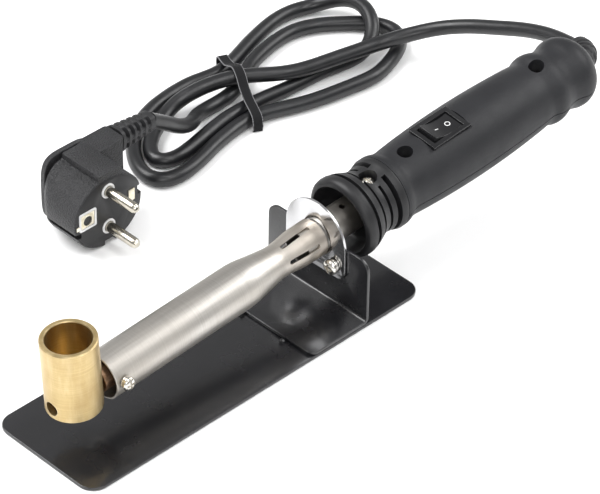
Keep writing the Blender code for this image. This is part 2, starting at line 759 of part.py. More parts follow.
top_block = rounded([(-5.0, 12, 0), (8.6, 12, 0), (8.0, PLUG_R, 1.2), (-5.0, PLUG_R, 1.2)], 2)
boolean(body, prism("plug_top_block", top_block, -23.8, -0.02, None, PLUG_FRAME, True), "UNION")
neck = [(5.0, -27.0, 0), (NECK_END, -27.0, 1.5), (NECK_END, -15.0, 1.5), (5.0, -14.0, 0)]
boolean(
    body,
    prism("plug_arm", rounded(neck, 3), -18.4, 3.0, None, PLUG_FRAME @ frame_of((1, 0, 0), (0, 0, 1), (0, -1, 0), (0, 0, 0)), True),
    "UNION",
)
earth_slots = bmesh.new()
prism_into(earth_slots, rectangle(-22, -14.6, -4.4, 4.4), -14, 2)
prism_into(earth_slots, rectangle(14.6, 22, -4.4, 4.4), -14, 2)
boolean(body, from_bmesh("earth_slots", earth_slots, None, PLUG_FRAME, True))
pin_holes = bmesh.new()
for sign in (1, -1):
    prism_into(pin_holes, circle(3.7, 20, 0, sign * PIN_PITCH / 2), -1.6, 2)
boolean(body, from_bmesh("pin_seats", pin_holes, None, PLUG_FRAME, True))

for name, sign in (("plug_pin_upper", 1), ("plug_pin_lower", -1)):
    revolve(
        name,
        [
            (PIN_L, 0), (PIN_L - 0.3, 1.3), (PIN_L - 1.2, 2.1), (PIN_L - 2.2, PIN_R), (0.3, PIN_R),
            (0.3, 3.4), (-1.2, 3.4), (-1.2, 0),
        ],
        BRIGHT,
        PLUG_FRAME @ Matrix.Translation((0, sign * PIN_PITCH / 2 * MM, 0)),
        20,
    )

for name, sign in (("plug_earth_clip_left", -1), ("plug_earth_clip_right", 1)):
    # a strip that runs along the bottom of the slot and turns in across the face
    strip = [(14.9, 0.4), (14.9, -13.6), (18.6, -13.6), (18.6, -12.6), (15.9, -12.6), (15.9, 1.4), (11.4, 1.4), (11.4, 0.4)]
    clip = prism(
        name,
        [(sign * x, z) for x, z in strip],
        -3.4,
        3.4,
        BRIGHT,
        PLUG_FRAME @ frame_of((1, 0, 0), (0, 0, 1), (0, -1, 0), (0, 0, 0)),
    )

relief_length = (tail_start - relief_start).length - 2 * GAP
plug_relief = [relief_start + relief_axis * relief_length * k / 8 for k in range(9)]
tube("plug_strain_relief", plug_relief, [5.8 - 0.17 * k for k in range(9)], RUBBER, 4)
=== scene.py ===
"""Looks for the crucible soldering iron, its bench stand and its lead.

Metres, +Z up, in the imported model's frame. Lengths below are in millimetres and are scaled by MM.
"""

import json
import math

import bmesh
import bpy
from mathutils import Matrix, Vector

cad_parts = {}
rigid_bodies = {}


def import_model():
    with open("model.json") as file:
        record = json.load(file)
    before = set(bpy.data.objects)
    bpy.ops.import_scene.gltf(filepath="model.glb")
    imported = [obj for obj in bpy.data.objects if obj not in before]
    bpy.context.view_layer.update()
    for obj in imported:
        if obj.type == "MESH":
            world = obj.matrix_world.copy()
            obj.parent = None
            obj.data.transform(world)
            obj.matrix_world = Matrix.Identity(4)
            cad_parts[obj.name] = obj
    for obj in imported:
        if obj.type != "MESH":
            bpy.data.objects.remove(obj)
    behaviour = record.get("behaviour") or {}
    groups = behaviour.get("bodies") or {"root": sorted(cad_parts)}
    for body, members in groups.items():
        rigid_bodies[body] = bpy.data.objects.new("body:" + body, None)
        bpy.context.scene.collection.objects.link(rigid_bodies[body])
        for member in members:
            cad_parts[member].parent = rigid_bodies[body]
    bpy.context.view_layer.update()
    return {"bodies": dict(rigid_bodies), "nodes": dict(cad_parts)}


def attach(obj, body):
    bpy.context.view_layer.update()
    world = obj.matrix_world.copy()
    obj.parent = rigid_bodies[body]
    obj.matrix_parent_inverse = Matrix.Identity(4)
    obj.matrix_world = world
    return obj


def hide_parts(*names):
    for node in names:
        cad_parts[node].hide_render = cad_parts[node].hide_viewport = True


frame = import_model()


kept = set(frame["nodes"].values()) | set(frame["bodies"].values())
for old in list(bpy.data.objects):
    if old not in kept:
        bpy.data.objects.remove(old, do_unlink=True)

MM = 0.001
GAP = 0.3  # clearance between neighbouring pieces

# stand
PLATE_L, PLATE_W, PLATE_T, PLATE_R = 190.0, 60.0, 1.5, 8.0
FOOT_X, UPRIGHT_X, UPRIGHT_Z, SHEET_T = 28.0, 60.3, 34.0, 1.5
FLANGE_R, FLANGE_BASE_Z, FLANGE_T = 17.6, 17.9, 1.2
SCREW_Y, SCREW_Z = 11.5, 23.9
# iron: its axis rises towards the handle and passes through (0, 0, AXIS_Z)
TILT, AXIS_Z = math.radians(3.42), 29.4
HANDLE_ROLL = math.radians(6.0)
BARREL_FRONT, BARREL_REAR = -63.0, 57.9
SLEEVE_R, SLEEVE_BORE = 7.7, 7.0
CUP_S, CUP_R, CUP_BORE, CUP_TOP, CUP_BASE, CUP_FLOOR = -77.5, 12.05, 9.75, 30.5, -5.1, 6.0
SHANK_R, STUD_R = 6.0, 3.0
CLAMP_S, CLAMP_PHI = -58.7, math.radians(84)
NOSE_SCREW_S, FRONT_SCREW_S, REAR_SCREW_S = 89.2, 111.6, 193.8
PARTING_U = -1.6
SWITCH_S, BEZEL_TOP, ROCKER_U, ROCKER_REST = 133.0, 17.1, 14.9, math.radians(-9)
# lead and plug
CORD_D = 7.0
RELIEF_END_S, RELIEF_BEND = 222.9, 10.4
HANK_Z0, HANK_H = 1.4, 12.0
PLUG = (19.9, 87.5, 19.5)
PLUG_R, PLUG_DEPTH = 19.3, 27.0
NECK_END, NECK_DEPTH, NECK_UP = 23.2, 22.0, 13.3
PIN_PITCH, PIN_R, PIN_L = 19.0, 2.4, 19.0

part = bpy.data.collections.new("visual")
tools = bpy.data.collections.new("cutters")
bpy.context.scene.collection.children.link(part)
bpy.context.scene.collection.children.link(tools)


# ---------------------------------------------------------------- materials
class Nodes:
    """A short way to build a material's node tree."""

    def __init__(self, name, colour, metallic, roughness):
        self.material = bpy.data.materials.new(name)
        self.material.use_nodes = True
        self.tree = self.material.node_tree
        self.shader = self.tree.nodes["Principled BSDF"]
        self.shader.inputs["Base Color"].default_value = (*colour, 1)
        self.shader.inputs["Metallic"].default_value = metallic
        self.shader.inputs["Roughness"].default_value = roughness
        self.material.diffuse_color = (*colour, 1)
        self.place = self.tree.nodes.new("ShaderNodeTexCoord").outputs["Object"]
        self.height = None

    def link(self, a, b):
        self.tree.links.new(a, b)

    def scaled(self, scale):
        mapping = self.tree.nodes.new("ShaderNodeMapping")
        mapping.inputs["Scale"].default_value = scale
        self.link(self.place, mapping.inputs["Vector"])
        return mapping.outputs["Vector"]

    def noise(self, scale, detail=3.0, rough=0.5):
        node = self.tree.nodes.new("ShaderNodeTexNoise")
        node.inputs["Scale"].default_value = 1.0
        node.inputs["Detail"].default_value = detail
        node.inputs["Roughness"].default_value = rough
        self.link(self.scaled(scale), node.inputs["Vector"])
        return node.outputs["Fac"]

    def spread(self, value, low, high, from_low=0.3, from_high=0.7):
        node = self.tree.nodes.new("ShaderNodeMapRange")
        for key, number in (("From Min", from_low), ("From Max", from_high), ("To Min", low), ("To Max", high)):
            node.inputs[key].default_value = number
        self.link(value, node.inputs["Value"])
        return node.outputs["Result"]

    def ramp(self, value, stops):
        node = self.tree.nodes.new("ShaderNodeValToRGB")
        elements = node.color_ramp.elements
        while len(elements) < len(stops):
            elements.new(0.5)
        for element, (position, colour) in zip(elements, stops):
            element.position = position
            element.color = (*colour, 1)
        self.link(value, node.inputs["Fac"])
        return node.outputs["Color"]

    def mix(self, factor, a, b, blend="MIX"):
        node = self.tree.nodes.new("ShaderNodeMix")
        node.data_type = "RGBA"
        node.blend_type = blend
        for socket, value in ((node.inputs["Factor"], factor), (node.inputs[6], a), (node.inputs[7], b)):
            if isinstance(value, (int, float)):
                socket.default_value = value
            elif isinstance(value, tuple):
                socket.default_value = (*value, 1)
            else:
                self.link(value, socket)
        return node.outputs[2]

    def axis(self, name):
        node = self.tree.nodes.new("ShaderNodeSeparateXYZ")
        self.link(self.place, node.inputs["Vector"])
        return node.outputs[name]

    def math(self, operation, a, b=0.0):
        node = self.tree.nodes.new("ShaderNodeMath")
        node.operation = operation
        for socket, value in ((node.inputs[0], a), (node.inputs[1], b)):
            if isinstance(value, (int, float)):
                socket.default_value = value
            else:
                self.link(value, socket)
        return node.outputs[0]

    def edges(self, distance, low, high):
        """Near 1 along a piece's convex edges and 0 elsewhere."""
        bevel = self.tree.nodes.new("ShaderNodeBevel")
        bevel.samples = 4
        bevel.inputs["Radius"].default_value = distance
        geometry = self.tree.nodes.new("ShaderNodeNewGeometry")
        dot = self.tree.nodes.new("ShaderNodeVectorMath")
        dot.operation = "DOT_PRODUCT"
        self.link(bevel.outputs["Normal"], dot.inputs[0])
        self.link(geometry.outputs["Normal"], dot.inputs[1])
        return self.spread(dot.outputs["Value"], 1.0, 0.0, low, high)

    def bump(self, value, distance, strength=1.0):
        node = self.tree.nodes.new("ShaderNodeBump")
        node.inputs["Distance"].default_value = distance
        node.inputs["Strength"].default_value = strength
        self.link(value, node.inputs["Height"])
        if self.height is not None:
            self.link(self.height, node.inputs["Normal"])
        self.height = node.outputs["Normal"]
        self.link(self.height, self.shader.inputs["Normal"])

    def set(self, key, value):
        if isinstance(value, (int, float)):
            self.shader.inputs[key].default_value = value
        else:
            self.link(value, self.shader.inputs[key])


def painted_steel():
    n = Nodes("black_paint", (0.011, 0.011, 0.012), 0.0, 0.24)
    cloud = n.noise((18, 18, 18), 4)
    # the lighter grey (0.10) along the convex edges is a painted highlight over the cloudy black paint
    n.set("Base Color", n.mix(n.edges(0.0006, 0.55, 0.98), n.mix(n.spread(cloud, 0, 1), (0.009, 0.009, 0.010), (0.014, 0.014, 0.016)), (0.10, 0.10, 0.105)))
    n.set("Roughness", n.spread(n.noise((60, 60, 60), 5), 0.2, 0.3))
    n.bump(n.noise((900, 900, 900), 2), 0.00004, 0.35)
    n.bump(n.noise((160, 160, 160), 2), 0.0002, 0.12)
    n.set("Coat Weight", 0.25)
    n.set("Coat Roughness", 0.12)
    return n.material


def turned_steel(name, warm_from, warm_to):
    """Steel with fine marks around it, and a warm tint towards one end of its own z axis."""
    n = Nodes(name, (0.6, 0.58, 0.55), 1.0, 0.33)
    rings = n.noise((25, 25, 5200), 3, 0.6)
    along = n.noise((900, 900, 14), 3, 0.6)
    patch = n.noise((55, 55, 22), 4, 0.55)
    base = n.mix(n.spread(rings, 0, 1), (0.45, 0.43, 0.40), (0.60, 0.58, 0.55))
    base = n.mix(n.spread(patch, 0, 0.6), base, (0.42, 0.385, 0.34))
    warm = n.spread(n.axis("Z"), 0, 0.55, warm_from * MM, warm_to * MM)
    base = n.mix(warm, base, (0.50, 0.425, 0.34))
    n.set("Base Color", base)
    n.set("Roughness", n.math("ADD", n.spread(along, -0.05, 0.06), n.spread(patch, 0.33, 0.46)))
    n.bump(rings, 0.00003, 0.35)
    n.bump(along, 0.00002, 0.3)
    n.set("Anisotropic", 0.35)
    return n.material


def flat_bright():
    n = Nodes("bright_steel", (0.86, 0.86, 0.86), 1.0, 0.12)
    n.set("Base Color", n.mix(n.spread(n.noise((90, 90, 90), 4), 0, 1), (0.50, 0.50, 0.51), (0.62, 0.62, 0.63)))
    n.set("Roughness", n.spread(n.noise((30, 1400, 160), 3), 0.10, 0.20))
    n.bump(n.noise((30, 1600, 300), 2), 0.00002, 0.2)
    return n.material


def nickel(name, low, high):
    n = Nodes(name, high, 1.0, 0.2)
    n.set("Base Color", n.mix(n.spread(n.noise((320, 320, 320), 4), 0, 1), low, high))
    n.set("Roughness", n.spread(n.noise((500, 500, 500), 4), 0.13, 0.27))
    n.bump(n.noise((1500, 1500, 1500), 3), 0.00002, 0.3)
    return n.material


def brass():
    n = Nodes("brass", (0.75, 0.56, 0.26), 1.0, 0.36)
    rings = n.noise((30, 30, 4200), 3, 0.6)
    scuff = n.noise((420, 420, 60), 5, 0.65)
    patch = n.noise((90, 90, 70), 4, 0.55)
    base = n.mix(n.spread(rings, 0, 1), (0.46, 0.345, 0.165), (0.60, 0.465, 0.245))
    base = n.mix(n.spread(scuff, 0, 0.6, 0.45, 0.75), base, (0.70, 0.58, 0.36))
    base = n.mix(n.spread(patch, 0, 0.6, 0.4, 0.7), base, (0.40, 0.28, 0.12))
    # the pale brass along the convex edges is a painted highlight
    base = n.mix(n.edges(0.0005, 0.6, 0.97), base, (0.92, 0.82, 0.58))
    n.set("Base Color", base)
    n.set("Roughness", n.math("ADD", n.spread(scuff, -0.06, 0.08), n.spread(patch, 0.32, 0.42)))
    n.bump(rings, 0.00003, 0.4)
    n.bump(scuff, 0.00003, 0.3)
    return n.material


def oxidised():
    n = Nodes("oxidised_steel", (0.2, 0.13, 0.08), 1.0, 0.45)
    n.set("Base Color", n.ramp(n.noise((180, 180, 60), 5, 0.65), [(0.3, (0.07, 0.045, 0.035)), (0.5, (0.22, 0.13, 0.075)), (0.72, (0.42, 0.33, 0.25))]))
    n.set("Roughness", n.spread(n.noise((300, 300, 300), 4), 0.35, 0.6))
    n.bump(n.noise((900, 900, 900), 4), 0.00006, 0.4)
    return n.material


def moulded(name, low, high, rough, grain, depth, strength, shine=0.35):
    """Moulded plastic: a fine even grain, slightly uneven shine and a painted highlight along its edges."""
    n = Nodes(name, low, 0.0, rough)
    base = n.mix(n.spread(n.noise((45, 45, 45), 4), 0, 1), low, high)
    # the lighter colour along the convex edges is a painted highlight
    lighter = tuple(min(c * 2.2 + 0.01, 1) for c in high)
    n.set("Base Color", n.mix(n.edges(0.0004, 0.6, 0.97), base, lighter))
    n.set("Roughness", n.spread(n.noise((120, 120, 120), 4), rough - 0.05, rough + 0.06))
    n.bump(n.noise((grain, grain, grain), 2), depth, strength)
    n.set("Specular IOR Level", shine)
    return n.material


def rubber():
    n = Nodes("cord_rubber", (0.02, 0.02, 0.021), 0.0, 0.42)
    n.set("Base Color", n.mix(n.spread(n.noise((120, 120, 120), 4), 0, 1), (0.0048, 0.005, 0.0058), (0.009, 0.0092, 0.0108)))
    n.set("Roughness", n.spread(n.noise((200, 200, 200), 4), 0.30, 0.42))
    n.bump(n.noise((2600, 2600, 2600), 2), 0.00003, 0.35)
    n.bump(n.noise((260, 260, 260), 2), 0.00012, 0.15)
    return n.material


def woven():
    """A flat woven band: local x runs across it and local y along it."""
    n = Nodes("tie_band", (0.02, 0.02, 0.02), 0.0, 0.7)
    weft = n.math("ABSOLUTE", n.math("SINE", n.math("MULTIPLY", n.axis("Y"), 7200.0)))
    warp = n.math("ABSOLUTE", n.math("SINE", n.math("MULTIPLY", n.axis("X"), 9000.0)))
    edge = n.spread(n.math("ABSOLUTE", n.axis("X")), 0, 1, 0.0020, 0.0023)
    n.set("Base Color", n.mix(n.math("MULTIPLY", edge, n.spread(weft, 0.2, 1, 0.2, 0.8)), (0.008, 0.008, 0.009), (0.26, 0.26, 0.27)))
    n.set("Roughness", 0.8)
    n.set("Specular IOR Level", 0.2)
    n.bump(n.math("MULTIPLY", weft, warp), 0.0002, 0.6)
    return n.material


def printed():
    n = Nodes("white_mark", (0.8, 0.8, 0.8), 0.0, 0.5)
    n.set("Base Color", n.mix(n.spread(n.noise((900, 900, 900), 3), 0, 1), (0.70, 0.70, 0.70), (0.86, 0.86, 0.86)))
    return n.material


def light_plastic():
    n = Nodes("insulator_white", (0.75, 0.75, 0.74), 0.0, 0.42)
    n.set("Base Color", n.mix(n.spread(n.noise((300, 300, 300), 3), 0, 1), (0.60, 0.60, 0.60), (0.74, 0.74, 0.74)))
    n.bump(n.noise((1800, 1800, 1800), 2), 0.00003, 0.3)
    return n.material


def contact_metal():
    n = Nodes("contact_metal", (0.8, 0.76, 0.62), 1.0, 0.3)
    n.set("Base Color", n.mix(n.spread(n.noise((500, 500, 500), 4), 0, 1), (0.72, 0.66, 0.50), (0.90, 0.86, 0.74)))
    n.set("Roughness", n.spread(n.noise((700, 700, 700), 4), 0.25, 0.42))
    n.bump(n.noise((1800, 1800, 1800), 3), 0.00003, 0.3)
    return n.material


BLACK_PAINT = painted_steel()
STEEL = turned_steel("brushed_steel", 25, 60)
SLEEVE_STEEL = turned_steel("brushed_steel_sleeve", 62, 100)
FLAT_BRIGHT = flat_bright()
BRIGHT = nickel("nickel_plate", (0.60, 0.57, 0.51), (0.76, 0.74, 0.70))
PIN_METAL = nickel("pin_metal", (0.42, 0.39, 0.33), (0.56, 0.53, 0.46))
BRASS = brass()
DARK_ROD = oxidised()
HANDLE = moulded("handle_plastic", (0.0105, 0.0108, 0.0125), (0.0155, 0.0158, 0.018), 0.50, 1500, 0.00012, 0.6, 0.3)
NOSE = moulded("nose_plastic", (0.009, 0.009, 0.010), (0.014, 0.014, 0.015), 0.42, 2300, 0.00004, 0.35)
SWITCH = moulded("switch_plastic", (0.008, 0.008, 0.009), (0.014, 0.014, 0.015), 0.2, 1500, 0.00002, 0.2)
PLUG_BLACK = moulded("plug_plastic", (0.010, 0.010, 0.011), (0.018, 0.018, 0.020), 0.42, 1250, 0.0008, 1.0, 0.4)
FACE_BLACK = moulded("plug_face_plastic", (0.012, 0.012, 0.013), (0.018, 0.018, 0.019), 0.42, 2200, 0.00003, 0.35)
RUBBER = rubber()
RELIEF = moulded("relief_rubber", (0.015, 0.015, 0.016), (0.022, 0.022, 0.024), 0.48, 1900, 0.00008, 0.5)
TIE = woven()
MARK = printed()
CONTACT = contact_metal()
WHITE = light_plastic()

def frame_of(x_axis, y_axis, z_axis, origin):
    matrix = Matrix.Identity(4)
    for column, axis in enumerate((x_axis, y_axis, z_axis)):
        for row in range(3):
            matrix[row][column] = axis[row]
    for row in range(3):
        matrix[row][3] = origin[row] * MM
    return matrix


def iron_frame(roll):
    """Local z runs along the iron, local x is up and local y is towards the viewer's side, turned by roll."""
    along = Vector((math.cos(TILT), 0, math.sin(TILT)))
    up = Vector((-math.sin(TILT), 0, math.cos(TILT)))
    side = Vector((0, -1, 0))
    x_axis = up * math.cos(roll) + side * math.sin(roll)
    y_axis = side * math.cos(roll) - up * math.sin(roll)
    return frame_of(x_axis, y_axis, along, (0, 0, AXIS_Z))


IRON = iron_frame(0)
GRIP = iron_frame(HANDLE_ROLL)
WORLD = Matrix.Identity(4)
ALONG_X = frame_of((0, 0, 1), (0, -1, 0), (1, 0, 0), (0, 0, 0))  # local z along +X
YZ_PLANE = frame_of((0, 1, 0), (0, 0, 1), (1, 0, 0), (0, 0, 0))  # outline (y, z), depth +X
XZ_PLANE = frame_of((1, 0, 0), (0, 0, 1), (0, -1, 0), (0, 0, 0))  # outline (x, z), depth -Y


def place(name, mesh, material, matrix, cutter):
    obj = bpy.data.objects.new(name, mesh)
    obj.matrix_world = matrix
    if cutter:
        tools.objects.link(obj)
        obj.hide_render = True
        obj.display_type = "WIRE"
    else:
        part.objects.link(obj)
        mesh.materials.append(material)
    return obj


def from_bmesh(name, bm, material, matrix=WORLD, cutter=False):
    bmesh.ops.scale(bm, vec=(MM, MM, MM), verts=bm.verts)
    bmesh.ops.recalc_face_normals(bm, faces=bm.faces)
    mesh = bpy.data.meshes.new(name)
    bm.to_mesh(mesh)
    bm.free()
    return place(name, mesh, material, matrix, cutter)


def prism_into(bm, outline, z0, z1, matrix=WORLD):
    low = [bm.verts.new(matrix @ Vector((x, y, z0))) for x, y in outline]
    top = [bm.verts.new(matrix @ Vector((x, y, z1))) for x, y in outline]
    bm.faces.new(low[::-1])
    bm.faces.new(top)
    for i in range(len(outline)):
        j = (i + 1) % len(outline)
        bm.faces.new((low[i], low[j], top[j], top[i]))


def prism(name, outline, z0, z1, material=None, matrix=WORLD, cutter=False):
    bm = bmesh.new()
    prism_into(bm, outline, z0, z1)
    return from_bmesh(name, bm, material, matrix, cutter)


def rectangle(x0, x1, y0, y1):
    return [(x0, y0), (x1, y0), (x1, y1), (x0, y1)]


def circle(radius, count=48, cx=0.0, cy=0.0):
    return [
        (cx + radius * math.cos(2 * math.pi * i / count), cy + radius * math.sin(2 * math.pi * i / count))
        for i in range(count)
    ]


def rounded(corners, count=12):
    """corners are (x, y, radius); each is replaced with an arc of that radius."""
    out = []
    for i, (x, y, radius) in enumerate(corners):
        if radius <= 0:
            out.append((x, y))
            continue
        here = Vector((x, y))
        before = Vector(corners[i - 1][:2])
        after = Vector(corners[(i + 1) % len(corners)][:2])
        a = (before - here).normalized()
        b = (after - here).normalized()
        half = a.angle(b) / 2
        middle = here + (a + b).normalized() * (radius / math.sin(half))
        start = here + a * (radius / math.tan(half)) - middle
        end = here + b * (radius / math.tan(half)) - middle
        turn = math.atan2(start.x * end.y - start.y * end.x, start.dot(end))
        for k in range(count + 1):
            t = turn * k / count
            out.append(
                (
                    middle.x + start.x * math.cos(t) - start.y * math.sin(t),
                    middle.y + start.x * math.sin(t) + start.y * math.cos(t),
                )
            )
    return out


def smooth_profile(points, steps=4):
    """A smooth open curve through (height, radius) pairs."""
    out = []
    for i in range(len(points) - 1):
        p0, p1 = Vector(points[max(i - 1, 0)]), Vector(points[i])
        p2, p3 = Vector(points[i + 1]), Vector(points[min(i + 2, len(points) - 1)])
        for k in range(steps):
            t = k / steps
            p = 0.5 * (2 * p1 + (p2 - p0) * t + (2 * p0 - 5 * p1 + 4 * p2 - p3) * t * t + (3 * p1 - p0 - 3 * p2 + p3) * t**3)
            out.append((p.x, p.y))
    out.append(tuple(points[-1]))
    return out


def stadium(length, width, count=12):
    half = length / 2 - width / 2
    points = []
    for side, centre in ((1, half), (-1, -half)):
        for k in range(count + 1):
            a = -math.pi / 2 + math.pi * k / count
            points.append((centre + side * width / 2 * math.cos(a), side * width / 2 * math.sin(a)))
    return points


def revolve(name, profile, material, matrix, steps=144, closed=False, cutter=False):
    """profile is (height, radius), down the outer side; a closed one comes back up the bore."""
    mesh = bpy.data.meshes.new(name)
    count = len(profile)
    edges = [(i, i + 1) for i in range(count - 1)]
    if closed:
        edges.append((count - 1, 0))
    mesh.from_pydata([(r * MM, 0, z * MM) for z, r in profile], edges, [])
    obj = place(name, mesh, material, matrix, cutter)
    screw = obj.modifiers.new("revolve", "SCREW")
    screw.axis = "Z"
    screw.angle = 2 * math.pi
    screw.steps = screw.render_steps = steps
    screw.use_merge_vertices = True
    screw.merge_threshold = 0.00001
    screw.use_smooth_shade = False
    return obj


def boolean(obj, cutter, operation="DIFFERENCE"):
    modifier = obj.modifiers.new(operation.lower(), "BOOLEAN")
    modifier.operation = operation
    modifier.solver = "EXACT"
    modifier.object = cutter
    return modifier


def bevel(obj, width, segments=1, angle=40):
    modifier = obj.modifiers.new("bevel", "BEVEL")
    modifier.width = width * MM
    modifier.segments = segments
    modifier.limit_method = "ANGLE"
    modifier.angle_limit = math.radians(angle)
    modifier.use_clamp_overlap = True
    return modifier


def rod_matrix(point, direction):
    """Maps local z onto direction, with its origin at point."""
    return Matrix.Translation(Vector(point)) @ Vector(direction).to_track_quat("Z", "Y").to_matrix().to_4x4()


def rods(name, items, matrix=WORLD, count=64):
    """One cutter made of separate rods, each (point, direction, length, radius)."""
    bm = bmesh.new()
    for point, direction, length, radius in items:
        prism_into(bm, circle(radius, count), 0, length, rod_matrix(point, direction))
    return from_bmesh(name, bm, None, matrix, cutter=True)


# ---------------------------------------------------------------- stand
plate = prism(
    "base_plate",
    rounded(
        [
            (-PLATE_L / 2, -PLATE_W / 2, PLATE_R),
            (PLATE_L / 2, -PLATE_W / 2, PLATE_R),
            (PLATE_L / 2, PLATE_W / 2, PLATE_R),
            (-PLATE_L / 2, PLATE_W / 2, PLATE_R),
        ],
        24,
    ),
    0,
    PLATE_T,
    BLACK_PAINT,
)

foot_z = PLATE_T + GAP
back_x = UPRIGHT_X + SHEET_T
bracket = prism(
    "stand_bracket",
    rounded(
        [
            (FOOT_X, foot_z, 0),
            (back_x, foot_z, 2.8),
            (back_x, UPRIGHT_Z, 0),
            (UPRIGHT_X, UPRIGHT_Z, 0),
            (UPRIGHT_X, foot_z + SHEET_T, 1.3),
            (FOOT_X, foot_z + SHEET_T, 0),
        ]
    ),
    -PLATE_W / 2,
    PLATE_W / 2,
    BLACK_PAINT,
    XZ_PLANE,
)
notch_z = AXIS_Z + UPRIGHT_X * math.tan(TILT)
notch_r = 8.6
notch = [
    (notch_r * math.cos(-math.pi * k / 48), notch_z + notch_r * math.sin(-math.pi * k / 48)) for k in range(49)
]
front_view = (
    rounded([(-30, -5, 0), (30, -5, 0), (30, UPRIGHT_Z, 6), (notch_r, UPRIGHT_Z, 0)])
    + notch
    + rounded([(-notch_r, UPRIGHT_Z, 0)])
    + rounded([(30, UPRIGHT_Z, 0), (-30, UPRIGHT_Z, 6), (-30, -5, 0)])[1:-1]
)
boolean(bracket, prism("bracket_front_view", front_view, FOOT_X - 5, back_x + 5, None, YZ_PLANE, True), "INTERSECT")
boolean(
    bracket,
    prism(
        "bracket_plan_view",
        rounded([(FOOT_X, -PLATE_W / 2, 4), (80, -PLATE_W / 2, 0), (80, PLATE_W / 2, 0), (FOOT_X, PLATE_W / 2, 4)]),
        -3,
        UPRIGHT_Z + 5,
        None,
        WORLD,
        True,
    ),
    "INTERSECT",
)
screw_holes = rods(
    "flange_screw_holes",
    [((50, y, SCREW_Z), (1, 0, 0), 20, 2.2) for y in (-SCREW_Y, SCREW_Y)],
)
boolean(bracket, screw_holes)

for name, y in (("bracket_weld_right", -14.0), ("bracket_weld_left", 11.0)):
    bead = revolve(
        name,
        [(1.7, 0), (1.55, 0.6), (1.05, 1.15), (0, 1.35), (0, 0)],
        BLACK_PAINT,
        WORLD,
        48,
    )
    bead.location = (26.3 * MM, y * MM, (PLATE_T + GAP) * MM)

arch = [
    (FLANGE_R * math.cos(math.pi * k / 96), notch_z + FLANGE_R * math.sin(math.pi * k / 96)) for k in range(97)
]
flange_front = UPRIGHT_X - GAP - FLANGE_T
flange = prism(
    "mounting_flange",
    arch
    + rounded([(-FLANGE_R, notch_z, 0), (-FLANGE_R, FLANGE_BASE_Z, 4.5), (FLANGE_R, FLANGE_BASE_Z, 4.5), (FLANGE_R, notch_z, 0)])[
        1:-1
    ],
    flange_front,
    flange_front + FLANGE_T,
    FLAT_BRIGHT,
    YZ_PLANE,
)
boolean(flange, screw_holes)
boolean(flange, rods("flange_bore", [((0, 0, 40), (0, 0, 1), 40, SLEEVE_R + 0.35)], IRON, 96))


def pan_head(name, radius, height, shank_r, shank_l, matrix, material=BRIGHT, recess=1.0):
    """A cross-recessed pan-head screw; local z points out of the head and z = 0 is the underside of the head."""
    screw = revolve(
        name,
        [
            (height, 0),
            (height * 0.97, radius * 0.5),
            (height * 0.72, radius * 0.86),
            (height * 0.4, radius),
            (0, radius),
            (0, shank_r),
            (-shank_l, shank_r),
            (-shank_l, 0),
        ],
        material,
        matrix,
        64,
    )
    arm, half = radius * 0.62, radius * 0.13
    cross = [
        (half, half), (half, arm), (-half, arm), (-half, half), (-arm, half), (-arm, -half),
        (-half, -half), (-half, -arm), (half, -arm), (half, -half), (arm, -half), (arm, half),
    ]
    boolean(screw, prism(name + "_recess", cross, height - recess, height + 1, None, matrix, True))
    return screw


def washer(name, inner, outer, z0, z1, matrix):
    return revolve(name, [(z1, outer), (z0, outer), (z0, inner), (z1, inner)], BRIGHT, matrix, 64, closed=True)


for side, y in (("right", -SCREW_Y), ("left", SCREW_Y)):
    seat = flange_front - GAP
    matrix = frame_of((0, 0, 1), (0, 1, 0), (-1, 0, 0), (seat - 1.0 - GAP, y, SCREW_Z))
    pan_head("flange_screw_" + side, 3.5, 2.4, 1.85, 8.8, matrix)
    washer("flange_washer_" + side, 2.15, 3.2, 0, 1.0, frame_of((0, 0, 1), (0, 1, 0), (-1, 0, 0), (seat, y, SCREW_Z)))

# ---------------------------------------------------------------- hot end
barrel_outer = [
    (BARREL_REAR, 8.75), (49, 8.7), (45, 8.35), (40, 7.75), (36, 7.55), (33, 7.75), (27, 8.6),
    (21, 9.55), (17.5, 10.1), (14, 10.4), (BARREL_FRONT, 10.45),
]
barrel_bore = [
    (BARREL_FRONT, 9.65), (14, 9.6), (18, 9.1), (27, 7.8), (33, 6.95), (36, 6.75), (40, 6.95), (45, 7.6),
    (47.5, 8.0), (BARREL_REAR, 8.0),
]
barrel_outer = smooth_profile(barrel_outer[:-1], 5) + [(BARREL_FRONT + 0.25, 10.45), (BARREL_FRONT, 10.25)]
barrel = revolve("heater_barrel", barrel_outer + barrel_bore, STEEL, IRON, 144, closed=True)
bm = bmesh.new()
for k in range(6):
    a = math.radians(12 + 60 * k)
    out = Vector((math.cos(a), math.sin(a), 0))
    across = Vector((-math.sin(a), math.cos(a), 0))
    turn = Matrix.Identity(4)
    for row in range(3):
        turn[row][0], turn[row][1], turn[row][2] = (0, 0, 1)[row], across[row], -out[row]
    turn.translation = Vector((0, 0, 45.6))
    prism_into(bm, stadium(16.4, 2.0, 10), -12, -5.5, turn)
boolean(barrel, from_bmesh("barrel_slots", bm, None, IRON, True))
clamp_dir = (math.cos(CLAMP_PHI), math.sin(CLAMP_PHI), 0)
boolean(barrel, rods("clamp_hole", [((0, 0, CLAMP_S), clamp_dir, 14, 1.8)], IRON))

sleeve = revolve(
    "support_sleeve",
    [(84.5, SLEEVE_R), (48.5, SLEEVE_R), (48.5, SLEEVE_BORE), (84.5, SLEEVE_BORE)],
    SLEEVE_STEEL,
    IRON,
    144,
    closed=True,
)
vent = math.radians(7.4)
boolean(sleeve, rods("sleeve_vent", [((0, 0, 74.1), (math.cos(vent), math.sin(vent), 0), 12, 1.4)], IRON, 40))

revolve("heating_element", [(33, 0), (33, 6.2), (-17, 6.2), (-17, 0)], DARK_ROD, IRON, 64)

